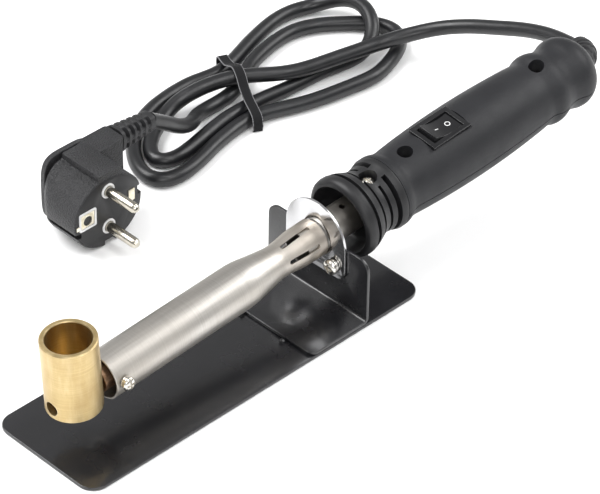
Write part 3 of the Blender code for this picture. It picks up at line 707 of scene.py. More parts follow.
shank_face = CUP_S + CUP_R + GAP
revolve(
    "crucible_shank",
    [(-18, 0), (-18, SHANK_R), (shank_face, SHANK_R), (shank_face, STUD_R), (-83.5, STUD_R), (-83.5, 0)],
    DARK_ROD,
    IRON,
    96,
)

cup_matrix = IRON @ Matrix.Translation((0, 0, CUP_S * MM)) @ Matrix.Rotation(math.pi / 2, 4, "Y")
cup = revolve(
    "crucible",
    [
        (CUP_FLOOR, 0), (CUP_FLOOR, CUP_BORE - 1.5), (CUP_FLOOR + 1.5, CUP_BORE), (CUP_TOP - 0.4, CUP_BORE),
        (CUP_TOP, CUP_BORE + 0.3), (CUP_TOP, CUP_R - 0.4), (CUP_TOP - 0.4, CUP_R), (CUP_BASE + 0.5, CUP_R),
        (CUP_BASE, CUP_R - 0.5), (CUP_BASE, 0),
    ],
    BRASS,
    cup_matrix,
    160,
)
boolean(cup, rods("cup_cross_hole", [((0, 0, CUP_S - 20), (0, 0, 1), 40, 3.3)], IRON))

clamp_matrix = IRON @ rod_matrix(
    (clamp_dir[0] * 12.05 * MM, clamp_dir[1] * 12.05 * MM, CLAMP_S * MM), clamp_dir
)
pan_head("clamp_screw", 3.1, 2.2, 1.45, 5.7, clamp_matrix, BRIGHT, 0.9)
washer("clamp_washer", 1.75, 2.9, -1.3, -0.3, clamp_matrix)

# ---------------------------------------------------------------- handle nose
nose = revolve(
    "handle_nose",
    [
        (98.6, 16.9), (97.2, 17.0), (95.8, 16.5), (93, 15.7), (90.5, 15.3), (88, 15.5), (86, 16.1),
        (85.3, 16.5), (85.3, 13.8), (83.9, 13.8), (83.9, 17.1), (82, 17.9), (80.4, 18.4), (80.4, 16.4),
        (78.3, 16.4), (78.3, 18.9), (76.6, 19.0), (75.0, 18.7), (73.9, 17.9), (73.3, 16.8), (73.3, 15.9),
        (74.2, 15.3), (80.5, 14.2), (82.2, 12.6), (82.8, 10.5), (82.8, 8.1), (98.6, 8.1),
    ],
    NOSE,
    GRIP,
    144,
    closed=True,
)


def arc_band(bm, s0, s1, r0, r1, a0, a1, count):
    ring = [(r1 * math.cos(a0 + (a1 - a0) * k / count), r1 * math.sin(a0 + (a1 - a0) * k / count)) for k in range(count + 1)]
    ring += [(r0 * math.cos(a1 + (a0 - a1) * k / count), r0 * math.sin(a1 + (a0 - a1) * k / count)) for k in range(count + 1)]
    prism_into(bm, ring, s0, s1)


bm = bmesh.new()
for s0, s1, start in ((88.9, 90.5, 24), (93.0, 95.2, 14)):
    for sign in (1, -1):
        arc_band(bm, s0, s1, 12.4, 20, math.radians(sign * start), math.radians(sign * 152), 60)
boolean(nose, from_bmesh("nose_vents", bm, None, GRIP, True))
boolean(
    nose,
    rods(
        "nose_screw_recess",
        [((10.7, 0, NOSE_SCREW_S), (1, 0, 0), 12, 4.1)],
        GRIP,
    ),
)
boolean(nose, rods("nose_screw_hole", [((6.0, 0, NOSE_SCREW_S), (1, 0, 0), 6, 1.7)], GRIP, 40))
pan_head(
    "nose_screw",
    3.4,
    2.2,
    1.4,
    2.6,
    GRIP @ rod_matrix((11.0 * MM, 0, NOSE_SCREW_S * MM), (1, 0, 0)),
    BRIGHT,
    0.9,
)

# ---------------------------------------------------------------- handle shells
SEAM = 0.5  # the groove along the parting line
grip_outer = [
    (224.0, 7.4), (223.5, 9.6), (222.4, 11.7), (220.9, 13.5), (219.1, 15.0), (216.6, 16.25), (214, 16.75), (211.5, 16.5),
    (209, 15.75), (206, 15.2), (203, 15.6), (200, 16.55), (197.5, 16.9), (195.3, 16.65), (193.3, 15.9), (191, 15.5),
    (186, 15.9), (180, 16.35), (170, 16.9), (160, 17.25), (149, 17.4), (138, 17.3), (128, 17.0), (118, 16.5),
    (111, 16.0), (107, 15.7), (104.2, 15.85), (101.8, 16.6), (100.2, 16.95), (98.9, 16.95),
]
grip_bore = [
    (98.9, 9.0), (102, 9.0), (102.2, 12.9), (108, 13.0), (118, 13.8), (128, 14.4), (149, 14.8), (170, 14.3),
    (186, 13.2), (206, 12.5), (213.5, 13.6), (217.5, 12.2), (219.3, 9.6), (219.8, 6.8), (224.0, 6.8),
]


def post(name, u0, u1, stations, radius):
    return rods(name, [((u0, 0, s), (1, 0, 0), u1 - u0, radius) for s in stations], GRIP, 48)


stations = (FRONT_SCREW_S, REAR_SCREW_S)
grip_outer = smooth_profile(grip_outer)
upper = revolve("handle_upper_shell", grip_outer + grip_bore, HANDLE, GRIP, 144, closed=True)
boolean(upper, prism("below_parting", rectangle(-30, PARTING_U + SEAM / 2, -30, 30), 80, 250, None, GRIP, True))
boolean(upper, post("upper_posts", PARTING_U + GAP / 2, 14.0, stations, 5.3), "UNION")
boolean(upper, post("upper_recesses", 8.3, 22, stations, 3.6))
boolean(upper, post("upper_screw_holes", PARTING_U - 3, 9.5, stations, 1.6))
boolean(
    upper,
    prism("switch_seat", rectangle(15.4, 25, -8.1, 8.1), SWITCH_S - 11.7, SWITCH_S + 11.7, None, GRIP, True),
)
boolean(
    upper,
    prism("switch_opening", rectangle(6, 25, -6.6, 6.6), SWITCH_S - 9.8, SWITCH_S + 9.8, None, GRIP, True),
)

lower = revolve("handle_lower_shell", grip_outer + grip_bore, HANDLE, GRIP, 144, closed=True)
boolean(lower, prism("above_parting", rectangle(PARTING_U - SEAM / 2, 30, -30, 30), 80, 250, None, GRIP, True))
boolean(lower, post("lower_posts", -14.0, PARTING_U - GAP / 2, stations, 4.6), "UNION")
boolean(lower, post("lower_screw_holes", -9.5, PARTING_U + 3, stations, 1.6))

for name, s in (("handle_screw_front", FRONT_SCREW_S), ("handle_screw_rear", REAR_SCREW_S)):
    pan_head(name, 3.2, 2.0, 1.3, 15.5, GRIP @ rod_matrix((8.6 * MM, 0, s * MM), (1, 0, 0)), BRIGHT, 0.8)

# ---------------------------------------------------------------- switch
housing = prism("switch_housing", rectangle(3.5, BEZEL_TOP - 1.0, -6.3, 6.3), SWITCH_S - 9.5, SWITCH_S + 9.5, SWITCH, GRIP)
bezel = prism(
    "switch_bezel_block",
    rectangle(BEZEL_TOP - 1.4, BEZEL_TOP, -7.8, 7.8),
    SWITCH_S - 11.4,
    SWITCH_S + 11.4,
    None,
    GRIP,
    True,
)
boolean(housing, bezel, "UNION")
boolean(
    housing,
    prism("switch_well", rectangle(11.2, 25, -5.5, 5.5), SWITCH_S - 9.0, SWITCH_S + 9.0, None, GRIP, True),
)

pivot = GRIP @ Matrix.Translation((ROCKER_U * MM, 0, SWITCH_S * MM))
side_view = [
    (-8.3, 2.9), (-6.0, 2.2), (-3.0, 1.6), (0, 1.35), (3.0, 1.6), (6.0, 2.2), (8.3, 2.9),
    (8.1, -0.4), (5.0, -2.3), (-5.0, -2.3), (-8.1, -0.4),
]
# The rocker is modelled at rest, with its front end up.
tilted = [
    (
        s * math.sin(ROCKER_REST) + u * math.cos(ROCKER_REST),
        s * math.cos(ROCKER_REST) - u * math.sin(ROCKER_REST),
    )
    for s, u in side_view
]
bm = bmesh.new()
low = [bm.verts.new((u, -5.2, s)) for u, s in tilted]
top = [bm.verts.new((u, 5.2, s)) for u, s in tilted]
bm.faces.new(low)
bm.faces.new(top[::-1])
for i in range(len(tilted)):
    j = (i + 1) % len(tilted)
    bm.faces.new((low[i], low[j], top[j], top[i]))
rocker = from_bmesh("switch_rocker", bm, SWITCH, pivot)

# ---------------------------------------------------------------- switch marks
def mark(name, outline_out, outline_in=None):
    """A thin white mark on the rocker; outlines are (s, y) on the rocker's own top."""
    bm = bmesh.new()
    if outline_in is None:
        prism_into(bm, outline_out, -0.05, 0.06)
    else:
        rings = []
        for z in (-0.05, 0.06):
            rings.append([bm.verts.new((x, y, z)) for x, y in outline_out])
            rings.append([bm.verts.new((x, y, z)) for x, y in outline_in])
        count = len(outline_out)
        for i in range(count):
            j = (i + 1) % count
            bm.faces.new((rings[2][i], rings[2][j], rings[3][j], rings[3][i]))
            bm.faces.new((rings[0][i], rings[1][i], rings[1][j], rings[0][j]))
            bm.faces.new((rings[0][i], rings[0][j], rings[2][j], rings[2][i]))
            bm.faces.new((rings[1][i], rings[3][i], rings[3][j], rings[1][j]))
    return bm


def on_rocker(s_low, s_high, s):
    """The frame of the rocker's top between two stations of its side view, at station s along it."""
    heights = dict(side_view[:7])
    a, b = Vector((s_low, heights[s_low])), Vector((s_high, heights[s_high]))
    middle = a.lerp(b, (s - a.x) / (b.x - a.x))
    direction = (b - a).normalized()
    tilt = Matrix.Rotation(ROCKER_REST, 2)
    # (s, u) turned by the rest angle, as the rocker's own outline is
    centre = Vector((middle.x * math.cos(ROCKER_REST) - middle.y * math.sin(ROCKER_REST), middle.x * math.sin(ROCKER_REST) + middle.y * math.cos(ROCKER_REST)))
    turned = Vector((direction.x * math.cos(ROCKER_REST) - direction.y * math.sin(ROCKER_REST), direction.x * math.sin(ROCKER_REST) + direction.y * math.cos(ROCKER_REST)))
    x_axis = (turned.y, 0, turned.x)
    z_axis = (turned.x, 0, -turned.y)
    return pivot @ frame_of(x_axis, (0, 1, 0), z_axis, (centre.y, 0, centre.x))


mark_o = from_bmesh("mark_o", mark("o", circle(1.3, 48), circle(0.98, 48)), MARK, on_rocker(3.0, 6.0, 4.4))
mark_i = from_bmesh("mark_i", mark("i", rectangle(-1.0, 1.0, -0.17, 0.17)), MARK, on_rocker(-3.0, 0, -2.4))

# ---------------------------------------------------------------- lead
def smooth_route(points, spacing):
    """A smooth curve through points, read at even spacing."""
    dense = []
    for i in range(len(points) - 1):
        p0 = points[max(i - 1, 0)]
        p1, p2 = points[i], points[i + 1]
        p3 = points[min(i + 2, len(points) - 1)]
        for k in range(40):
            t = k / 40
            dense.append(
                0.5 * (2 * p1 + (p2 - p0) * t + (2 * p0 - 5 * p1 + 4 * p2 - p3) * t * t + (3 * p1 - p0 - 3 * p2 + p3) * t**3)
            )
    dense.append(points[-1])
    lengths = [0.0]
    for a, b in zip(dense, dense[1:]):
        lengths.append(lengths[-1] + (b - a).length)
    count = max(2, round(lengths[-1] / spacing))
    out, j = [], 0
    for k in range(count + 1):
        target = lengths[-1] * k / count
        while j < len(dense) - 2 and lengths[j + 1] < target:
            j += 1
        f = (target - lengths[j]) / (lengths[j + 1] - lengths[j])
        out.append(dense[j].lerp(dense[j + 1], min(max(f, 0), 1)))
    return out


along = Vector((math.cos(TILT), 0, math.sin(TILT)))
bend_start = Vector((0, 0, AXIS_Z)) + along * RELIEF_END_S
toward = Vector((0, 0.97, -0.24))
toward = (toward - along * toward.dot(along)).normalized()
turn = math.radians(76)
relief = [bend_start + along * d for d in (-8.5, -4.0)]
relief += [
    bend_start + along * RELIEF_BEND * math.sin(turn * k / 9) + toward * RELIEF_BEND * (1 - math.cos(turn * k / 9))
    for k in range(10)
]
relief_end_dir = (along * math.cos(turn) + toward * math.sin(turn)).normalized()
relief.append(relief[-1] + relief_end_dir * 3)


def swept(name, points, ring_at, material, count=96):
    """A solid swept along points; ring_at(distance) gives the (across, up) outline there."""
    bm = bmesh.new()
    rings, gone = [], 0.0
    for i, point in enumerate(points):
        if i:
            gone += (point - points[i - 1]).length
        ahead = (points[min(i + 1, len(points) - 1)] - points[max(i - 1, 0)]).normalized()
        across = ahead.cross(Vector((0, 0, 1))).normalized()
        rise = across.cross(ahead).normalized()
        rings.append([bm.verts.new(point + across * a + rise * b) for a, b in ring_at(gone)])
    bm.faces.new(rings[0])
    bm.faces.new(rings[-1][::-1])
    for first, second in zip(rings, rings[1:]):
        for i in range(len(first)):
            j = (i + 1) % len(first)
            bm.faces.new((first[i], second[i], second[j], first[j]))
    return from_bmesh(name, bm, material)


def groove(distance, first, pitch, last, width):
    """1 inside a groove and 0 between grooves, with short slopes."""
    if distance < first - width or distance > last + width:
        return 0.0
    nearest = first + pitch * round((distance - first) / pitch)
    away = abs(distance - min(max(nearest, first), last))
    return min(max((width / 2 + 0.25 - away) / 0.5, 0.0), 1.0)


relief_route = smooth_route(relief, 0.35)
relief_total = sum((b - a).length for a, b in zip(relief_route, relief_route[1:]))


def handle_relief_ring(distance):
    share = distance / relief_total
    radius = 6.4 - 0.35 * share - (0.0 if share < 0.94 else 1.3 * (share - 0.94) / 0.06)
    cut = groove(distance, 7.0, 3.1, 20.0, 1.3)
    ring = []
    for k in range(96):
        a = 2 * math.pi * k / 96
        keep = 1 - 0.24 * cut * min(abs(math.cos(2 * a)) * 1.6, 1.0)
        ring.append((radius * keep * math.cos(a), radius * keep * math.sin(a)))
    return ring


handle_relief = swept("handle_relief", relief_route, handle_relief_ring, RELIEF)

relief_end_dir = (along * math.cos(turn) + toward * math.sin(turn)).normalized()
lead_start = relief[-1] + relief_end_dir * GAP
relief_start = Vector((PLUG[0] + NECK_END + 2 * GAP, PLUG[1] + NECK_DEPTH, PLUG[2] + NECK_UP))
tail_start = Vector((65.5, 110.6, 31.6))
relief_axis = (tail_start - relief_start).normalized()

FLOOR = CORD_D / 2
# The cord's centreline from the handle to the plug. Points with two numbers lie on the table.
lead_route = [
    (237.4, 33, 35.4), (237.2, 46.5, 31), (235, 59.8, 26.3), (232.4, 73, 21.8), (227, 85.9, 17.2), (218.2, 94.9, 13.8),
    (205, 103.4, 10.6), (192, 106, 10.7), (180.9, 108.8, 10.7), (168, 111.5, 10.7), (157, 115, 10.8), (147, 121, 11.2),
    (137.5, 128.5, 11.2), (127, 133, 10.7), (115.5, 136.5, 9.0), (104, 138.4, 5.6), (94.4, 135.0), (84, 130), (77.5, 124),
    (72.8, 118.3), (71.9, 113.6), (75.6, 110.5), (81, 109.8), (86.5, 110.4), (94.9, 112), (105.4, 114.3), (118, 116.6),
    (128, 116.6), (138.5, 116.3), (156, 114), (177, 113), (186, 111), (198, 110.2), (208.5, 113.6, 6.2), (216, 122, 10.9),
    (219.5, 134, 11.4), (217, 146, 8), (209, 154.5), (199.5, 158), (187, 158), (167, 153), (150, 147), (138, 144.8),
    (124.2, 147.8), (107.2, 146.9), (94.2, 144.1), (82.1, 138.1), (72.7, 130.2), (64.2, 118.5), (61.4, 107.8),
    (64.6, 101.4), (72.5, 99.2), (85.4, 101.1), (99.6, 105.3), (112, 107.8), (124, 109.2), (135, 107), (145, 103),
    (155, 99.5), (167, 97), (179, 95), (191, 93.5), (202, 96.5), (212, 100.5), (221, 107), (224, 116), (219, 126),
    (210, 134), (201, 141), (192, 145), (182, 146), (167, 143.5), (153, 139), (145, 134), (135, 129.5), (127, 128),
    (116.4, 127.5, 4), (107, 125, 6), (101, 120.5, 8.5), (95, 116.5, 11.2), (89, 114.3, 14.4), (83, 112.9, 18.4),
    (76.3, 111.8, 24),
]
cord_points = [lead_start, lead_start + relief_end_dir * 10]
cord_points += [Vector(p if len(p) == 3 else (*p, FLOOR)) for p in lead_route]
cord_points += [tail_start, tail_start - relief_axis * 0.01]
cord_points[-2:] = [tail_start]
centreline = smooth_route(cord_points, 3.0)
for turn_round in range(5):
    relaxed = [p.copy() for p in centreline]
    for i in range(3, len(centreline) - 3):
        relaxed[i] = (centreline[i - 1] + centreline[i] * 2 + centreline[i + 1]) / 4
    centreline = relaxed
for point in centreline:
    point.z = max(point.z, FLOOR)

data = bpy.data.curves.new("power_cord", "CURVE")
data.dimensions = "3D"
data.bevel_depth = CORD_D / 2 * MM
data.bevel_resolution = 8
data.use_fill_caps = True
spline = data.splines.new("POLY")
spline.points.add(len(centreline) - 1)
for target, point in zip(spline.points, centreline):
    target.co = (*(point * MM), 1)
    target.radius = 1.0
spline.use_smooth = True
data.materials.append(RUBBER)
cord = bpy.data.objects.new("power_cord", data)
part.objects.link(cord)

# ---------------------------------------------------------------- tie
tie_low, tie_high = Vector((124.3, 103.0)), Vector((147.3, 151.5))
tie_dir = (tie_high - tie_low).normalized()
tie_span = (tie_high - tie_low).length


def band_outline(inner, outer):
    """The tie's side view (distance along it, height): over the strands and flat under them."""
    tops = [(0.0, 0.05), (-0.6, 3.5), (0.9, 7.3), (5.5, 8.4), (12.5, 8.9), (19.0, 10.8), (25.0, 14.6), (30.5, 15.3), (36.0, 12.6), (42.0, 9.2), (47.0, 7.9), (tie_span - 1.2, 6.8), (tie_span + 0.2, 3.5), (tie_span - 0.6, 0.05)]
    return smooth_profile(tops, 8)


ridge = band_outline(0, 0)
bm = bmesh.new()
outer, inner = [], []
for i, (d, z) in enumerate(ridge):
    before, after = Vector(ridge[max(i - 1, 0)]), Vector(ridge[min(i + 1, len(ridge) - 1)])
    normal = Vector((-(after - before).y, (after - before).x)).normalized()
    outer.append(Vector((d, max(z, 0.05))) + normal * 0.25)
    inner.append(Vector((d, max(z, 0.05))) - normal * 0.25)
loop = [(p.x, max(p.y, 0.02)) for p in outer] + [(p.x, max(p.y, 0.02)) for p in reversed(inner)]
half_band = 2.4
sides = []
for across in (-half_band, -half_band + 0.35, half_band - 0.35, half_band):
    thin = 0.55 if abs(across) == half_band else 1.0
    sides.append([bm.verts.new((across, d, z)) for d, z in loop])
for first, second in zip(sides, sides[1:]):
    for i in range(len(loop)):
        j = (i + 1) % len(loop)
        bm.faces.new((first[i], first[j], second[j], second[i]))
half_count = len(outer)
for side in (sides[0], sides[-1]):
    for i in range(half_count - 1):
        bm.faces.new((side[i], side[i + 1], side[len(loop) - 2 - i], side[len(loop) - 1 - i]))
band_matrix = frame_of((tie_dir.y, -tie_dir.x, 0), (tie_dir.x, tie_dir.y, 0), (0, 0, 1), (tie_low.x, tie_low.y, 0))
tie = from_bmesh("woven_tie", bm, TIE, band_matrix)

# ---------------------------------------------------------------- plug
px, py, pz = PLUG
# local x is +X, local y is up and local z points out of the plug's face, towards -Y
PLUG_FRAME = frame_of((1, 0, 0), (0, 0, 1), (0, -1, 0), (px, py, pz))


def plug_section(half_x, low, high, power, z):
    """A ring of the moulding: a superellipse across local x, from low to high."""
    ring = []
    for k in range(160):
        a = 2 * math.pi * k / 160
        c, d = math.cos(a), math.sin(a)
        mid, half_y = (high + low) / 2, (high - low) / 2
        ring.append(
            (
                half_x * math.copysign(abs(c) ** (2 / power), c),
                mid + half_y * math.copysign(abs(d) ** (2 / power), d),
                z,
            )
        )
    return ring


sections = [
    plug_section(PLUG_R - 0.35, -PLUG_R + 0.35, 16.3, 2, 0),
    plug_section(PLUG_R, -PLUG_R, 16.6, 2, -0.35),
    plug_section(PLUG_R, -PLUG_R, 16.6, 2, -18.0),
    plug_section(18.4, -18.6, 16.9, 2.2, -20.6),
    plug_section(16.2, -17.2, 17.4, 2.8, -23.2),
    plug_section(15.9, -16.9, 17.2, 2.8, -23.5),
    plug_section(12.4, -14.0, 16.0, 3.4, -23.6),
    plug_section(12.4, -14.0, 16.0, 3.4, -25.1),
    plug_section(13.9, -15.4, 18.6, 4.2, -25.2),
    plug_section(14.2, -15.7, 18.9, 4.2, -25.5),
    plug_section(14.1, -15.6, 18.7, 4.2, -27.8),
    plug_section(13.7, -15.2, 18.3, 4.2, -28.2),
]
bm = bmesh.new()
rings = [[bm.verts.new(p) for p in ring] for ring in sections]
bm.faces.new(rings[0])
bm.faces.new(rings[-1][::-1])
for first, second in zip(rings, rings[1:]):
    for i in range(160):
        j = (i + 1) % 160
        bm.faces.new((first[i], first[j], second[j], second[i]))
body = from_bmesh("plug_body", bm, PLUG_BLACK, PLUG_FRAME)
top_block = rounded([(-5.0, 12, 0), (8.6, 12, 0), (8.0, PLUG_R, 1.2), (-5.0, PLUG_R, 1.2)], 2)
boolean(body, prism("plug_top_block", top_block, -23.8, -0.02, None, PLUG_FRAME, True), "UNION")
neck = [(5.0, -27.0, 0), (NECK_END, -27.0, 1.5), (NECK_END, -15.0, 1.5), (5.0, -14.0, 0)]
boolean(
    body,
    prism("plug_arm", rounded(neck, 3), -18.4, 3.0, None, PLUG_FRAME @ frame_of((1, 0, 0), (0, 0, 1), (0, -1, 0), (0, 0, 0)), True),
    "UNION",
)
earth_slots = bmesh.new()
prism_into(earth_slots, rectangle(-22, -15.7, -8.0, -5.5), -24, 2)
prism_into(earth_slots, rectangle(17.0, 22, -0.9, 3.5), -24, 2)
prism_into(earth_slots, rectangle(-2.3, 4.1, -22, -16.6), -24, 2)
boolean(body, from_bmesh("earth_slots", earth_slots, None, PLUG_FRAME, True))
pin_holes = bmesh.new()
for sign in (1, -1):
    prism_into(pin_holes, circle(3.7, 64, 0, sign * PIN_PITCH / 2), -1.6, 2)
boolean(body, from_bmesh("pin_seats", pin_holes, None, PLUG_FRAME, True))

for name, sign in (("plug_pin_upper", 1), ("plug_pin_lower", -1)):
    revolve(
        name,
        [
            (PIN_L, 0), (PIN_L - 0.3, 1.3), (PIN_L - 1.2, 2.1), (PIN_L - 2.2, PIN_R),
            (-1.2, PIN_R), (-1.2, 0),
        ],
        PIN_METAL,
        PLUG_FRAME @ Matrix.Translation((0, sign * PIN_PITCH / 2 * MM, 0)),
        64,
    )

# right earth contact: a small plate across the face
clip = prism("plug_earth_clip_right", [(11.6, -2.4), (15.0, -2.4), (15.0, 3.6), (11.6, 3.6)], 0.0, 0.5, CONTACT, PLUG_FRAME)

# the face's smooth inlay, just proud of the textured body
face_plate = prism("plug_face", [(x, y if y < 0 else y * 15.5 / (PLUG_R - 0.75)) for x, y in circle(PLUG_R - 0.75, 160)], -0.6, 0.12, FACE_BLACK, PLUG_FRAME)
boolean(face_plate, body.modifiers[-1].object)
face_slots = bmesh.new()
prism_into(face_slots, rectangle(-22, -15.7, -8.0, -5.5), -14, 2)
prism_into(face_slots, rectangle(17.0, 22, -0.9, 3.5), -14, 2)
prism_into(face_slots, rectangle(-2.3, 4.1, -22, -16.6), -14, 2)
boolean(face_plate, from_bmesh("face_slots", face_slots, None, PLUG_FRAME, True))

seats = []
for name, sign in (("pin_ring_upper", 1), ("pin_ring_lower", -1)):
    seats.append(
        revolve(
            name,
            [(0.55, 2.75), (0.55, 3.35), (0.35, 3.6), (-1.3, 3.6), (-1.3, 2.55), (0.4, 2.55)],
            WHITE,
            PLUG_FRAME @ Matrix.Translation((0, sign * PIN_PITCH / 2 * MM, 0)),
            72,
            closed=True,
        )
    )

# the frame around the left earth contact, and its socket with the round hole
frame_outer = rounded([(-16.9, -4.7, 0.8), (-7.2, -4.7, 0.8), (-7.2, 4.7, 0.8), (-16.9, 4.7, 0.8)], 6)
earth_frame = prism("earth_frame", frame_outer, -0.3, 0.62, WHITE, PLUG_FRAME)
boolean(
    earth_frame,
    prism("earth_frame_hole", rounded([(-16.0, -3.7, 0.4), (-8.2, -3.7, 0.4), (-8.2, 3.7, 0.4), (-16.0, 3.7, 0.4)], 4), -2, 2, None, PLUG_FRAME, True),
)
contact = prism("earth_contact", [(-18.4, -3.4), (-8.4, -3.4), (-8.4, 3.4), (-15.9, 3.4), (-15.9, -1.4), (-18.4, -1.4)], 0.0, 0.4, CONTACT, PLUG_FRAME)
boolean(contact, rods("earth_hole", [((-12.4, 0, -2), (0, 0, 1), 4, 2.4)], PLUG_FRAME))
socket = revolve(
    "earth_socket",
    [(0.75, 2.4), (0.75, 2.8), (0.4, 3.0), (0.2, 3.0), (0.2, 2.4)],
    CONTACT,
    PLUG_FRAME @ Matrix.Translation((-12.4 * MM, 0, 0)),
    64,
    closed=True,
)
hollow = revolve("earth_socket_floor", [(0.28, 0), (0.28, 2.35), (0.14, 2.35), (0.14, 0)], FACE_BLACK, PLUG_FRAME @ Matrix.Translation((-12.4 * MM, 0, 0)), 48)

# the ribbed sleeve at the plug
plug_relief_route = smooth_route([relief_start, tail_start - relief_axis * GAP], 0.3)
plug_relief_total = (tail_start - relief_axis * GAP - relief_start).length


def plug_relief_ring(distance):
    share = distance / plug_relief_total
    half = 5.75 - 1.55 * share
    cut = groove(distance, 3.0, 3.6, 17.4, 1.7)
    ring = []
    for k in range(96):
        a = 2 * math.pi * k / 96
        c, d = math.cos(a), math.sin(a)
        keep = 1 - 0.36 * cut * min(abs(math.sin(2 * a)) * 1.7, 1.0)
        power = 2 / 3.2
        ring.append((half * keep * math.copysign(abs(c) ** power, c), half * keep * math.copysign(abs(d) ** power, d)))
    return ring


plug_relief_piece = swept("plug_relief", plug_relief_route, plug_relief_ring, RELIEF)


# ---------------------------------------------------------------- finishing
def finish_piece(obj, body_name, nodes, width=0.0, segments=3, sharp=34):
    if width:
        modifier = bevel(obj, width, segments, 38)
        modifier.harden_normals = False
        modifier.use_clamp_overlap = False
        modifier.loop_slide = False
    graph = bpy.context.evaluated_depsgraph_get()
    mesh = bpy.data.meshes.new_from_object(obj.evaluated_get(graph), preserve_all_data_layers=True, depsgraph=graph)
    obj.modifiers.clear()
    obj.data = mesh
    for polygon in mesh.polygons:
        polygon.use_smooth = True
    mesh.set_sharp_from_angle(angle=math.radians(sharp))
    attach(obj, body_name)
    if nodes:
        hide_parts(*nodes)


bpy.context.view_layer.update()
named = {obj.name: obj for obj in part.objects}


def visual(cad_name):
    """The visual piece made under a CAD node's name; the node keeps that name, so the piece has a suffix."""
    matches = [o for o in part.objects if o.name == cad_name or o.name.startswith(cad_name + ".")]
    return matches[0]


table = [
    ("base_plate", "stand", "black_paint", 0.35, 4),
    ("stand_bracket", "stand", "black_paint", 0.3, 3),
    ("bracket_weld_right", "stand", "black_paint", 0, 0),
    ("bracket_weld_left", "stand", "black_paint", 0, 0),
    ("mounting_flange", "stand", "bright_steel", 0.15, 2),
    ("flange_screw_right", "stand", "nickel_plate", 0.08, 2),
    ("flange_screw_left", "stand", "nickel_plate", 0.08, 2),
    ("flange_washer_right", "stand", "nickel_plate", 0.12, 2),
    ("flange_washer_left", "stand", "nickel_plate", 0.12, 2),
    ("heater_barrel", "stand", "brushed_steel", 0, 0),
    ("clamp_screw", "stand", "nickel_plate", 0.08, 2),
    ("clamp_washer", "stand", "nickel_plate", 0.12, 2),
    ("support_sleeve", "stand", "brushed_steel", 0, 0),
    ("crucible_shank", "crucible", "oxidised_steel", 0.4, 3),
    ("crucible", "crucible", "brass", 0, 0),
    ("handle_nose", "stand", "handle_plastic", 0, 0),
    ("nose_screw", "stand", "nickel_plate", 0.08, 2),
    ("handle_upper_shell", "stand", "handle_plastic", 0, 0),
    ("handle_lower_shell", "stand", "handle_plastic", 0, 0),
    ("handle_screw_front", "stand", "nickel_plate", 0.08, 2),
    ("handle_screw_rear", "stand", "nickel_plate", 0.08, 2),
    ("switch_housing", "stand", "switch_plastic", 0.25, 3),
    ("switch_rocker", "rocker", "switch_plastic", 0.4, 4),
    ("plug_body", "stand", "plug_plastic", 0, 0),
    ("plug_pin_upper", "stand", "nickel_plate", 0, 0),
    ("plug_pin_lower", "stand", "nickel_plate", 0, 0),
    ("plug_earth_clip_right", "stand", "nickel_plate", 0.1, 2),
]
for cad_name, body_name, slot_name, width, segments in table:
    piece = visual(cad_name)
    finish_piece(piece, body_name, [cad_name], width, segments)

element = visual("heating_element")
finish_piece(element, "stand", ["heating_element"])
finish_piece(handle_relief, "stand", ["cord_strain_relief"], 0, 0, 50)
finish_piece(plug_relief_piece, "stand", ["plug_strain_relief"], 0, 0, 50)
finish_piece(tie, "stand", ["cord_tie"], 0, 0, 50)
finish_piece(mark_o, "rocker", [])
finish_piece(mark_i, "rocker", [])
finish_piece(face_plate, "stand", [], 0.12, 2)
for ring in seats:
    finish_piece(ring, "stand", [])
finish_piece(earth_frame, "stand", [], 0.15, 2)
finish_piece(contact, "stand", ["plug_earth_clip_left"], 0.08, 2)
finish_piece(socket, "stand", [])
finish_piece(hollow, "stand", [])

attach(cord, "stand")
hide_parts("cord_lead", "cord_hank", "cord_tail")

for cutter in list(tools.objects):
    bpy.data.objects.remove(cutter, do_unlink=True)

# ---------------------------------------------------------------- floor, light and camera
def plain(name, colour, rough):
    n = Nodes(name, colour, 0.0, rough)
    lighter = tuple(min(c * 1.03, 1) for c in colour)
    n.set("Base Color", n.mix(n.spread(n.noise((3, 3, 3), 2), 0, 1), colour, lighter))
    return n.material


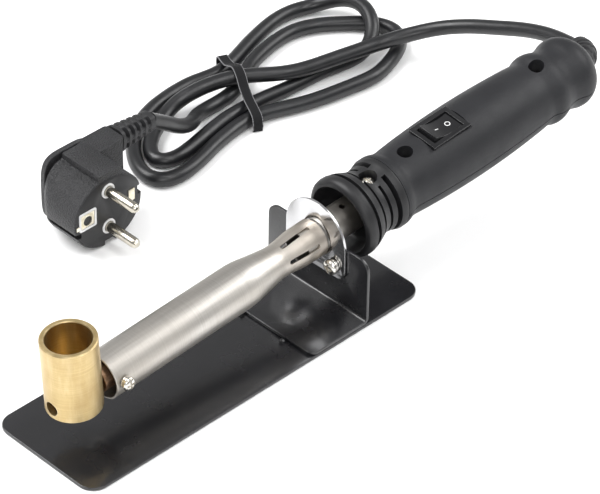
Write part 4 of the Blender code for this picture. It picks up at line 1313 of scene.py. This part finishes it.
floor_mesh = bpy.data.meshes.new("floor")
floor_mesh.from_pydata([(-6, -6, -0.0002), (6, -6, -0.0002), (6, 6, -0.0002), (-6, 6, -0.0002)], [], [(0, 1, 2, 3)])
floor = bpy.data.objects.new("floor", floor_mesh)
floor_mesh.materials.append(plain("floor_white", (0.93, 0.93, 0.93), 0.8))
bpy.context.scene.collection.objects.link(floor)

world = bpy.data.worlds.new("studio")
bpy.context.scene.world = world
bpy.context.scene.view_settings.view_transform = "Standard"
world.use_nodes = True
background = world.node_tree.nodes["Background"]
background.inputs["Color"].default_value = (1, 1, 1, 1)
background.inputs["Strength"].default_value = 0.5


def area(name, position, target, size, power, size_y=None):
    light = bpy.data.lights.new(name, "AREA")
    light.energy = power
    light.shape = "RECTANGLE"
    light.size = size
    light.size_y = size_y or size
    obj = bpy.data.objects.new(name, light)
    bpy.context.scene.collection.objects.link(obj)
    obj.location = position
    obj.rotation_euler = (Vector(target) - Vector(position)).to_track_quat("-Z", "Y").to_euler()
    return obj


area("key", (-0.6, 0.9, 1.5), (0.08, 0.05, 0), 1.2, 40)
area("fill", (1.3, -0.5, 1.1), (0.08, 0.03, 0), 1.0, 15)
area("front", (-0.9, -1.1, 0.9), (0.05, 0.02, 0.02), 0.7, 7)
area("strip", (0.1, -0.9, 1.6), (0.05, 0.03, 0.02), 0.35, 12, 1.6)

a, e, r = (math.radians(v) for v in (-44.91, 37.95, 0.92))
back = Vector((math.sin(a) * math.cos(e), -math.cos(a) * math.cos(e), math.sin(e)))
right = Vector((math.cos(a), math.sin(a), 0))
up = back.cross(right)
camera_x = right * math.cos(r) + up * math.sin(r)
camera_y = -right * math.sin(r) + up * math.cos(r)
lens = bpy.data.cameras.new("camera")
lens.sensor_width = 36
lens.lens = 218.2
lens.clip_start = 0.01
camera = bpy.data.objects.new("camera", lens)
bpy.context.scene.collection.objects.link(camera)
camera.matrix_world = frame_of(camera_x, camera_y, back, (-801.87, -854.45, 972.67))
bpy.context.scene.camera = camera
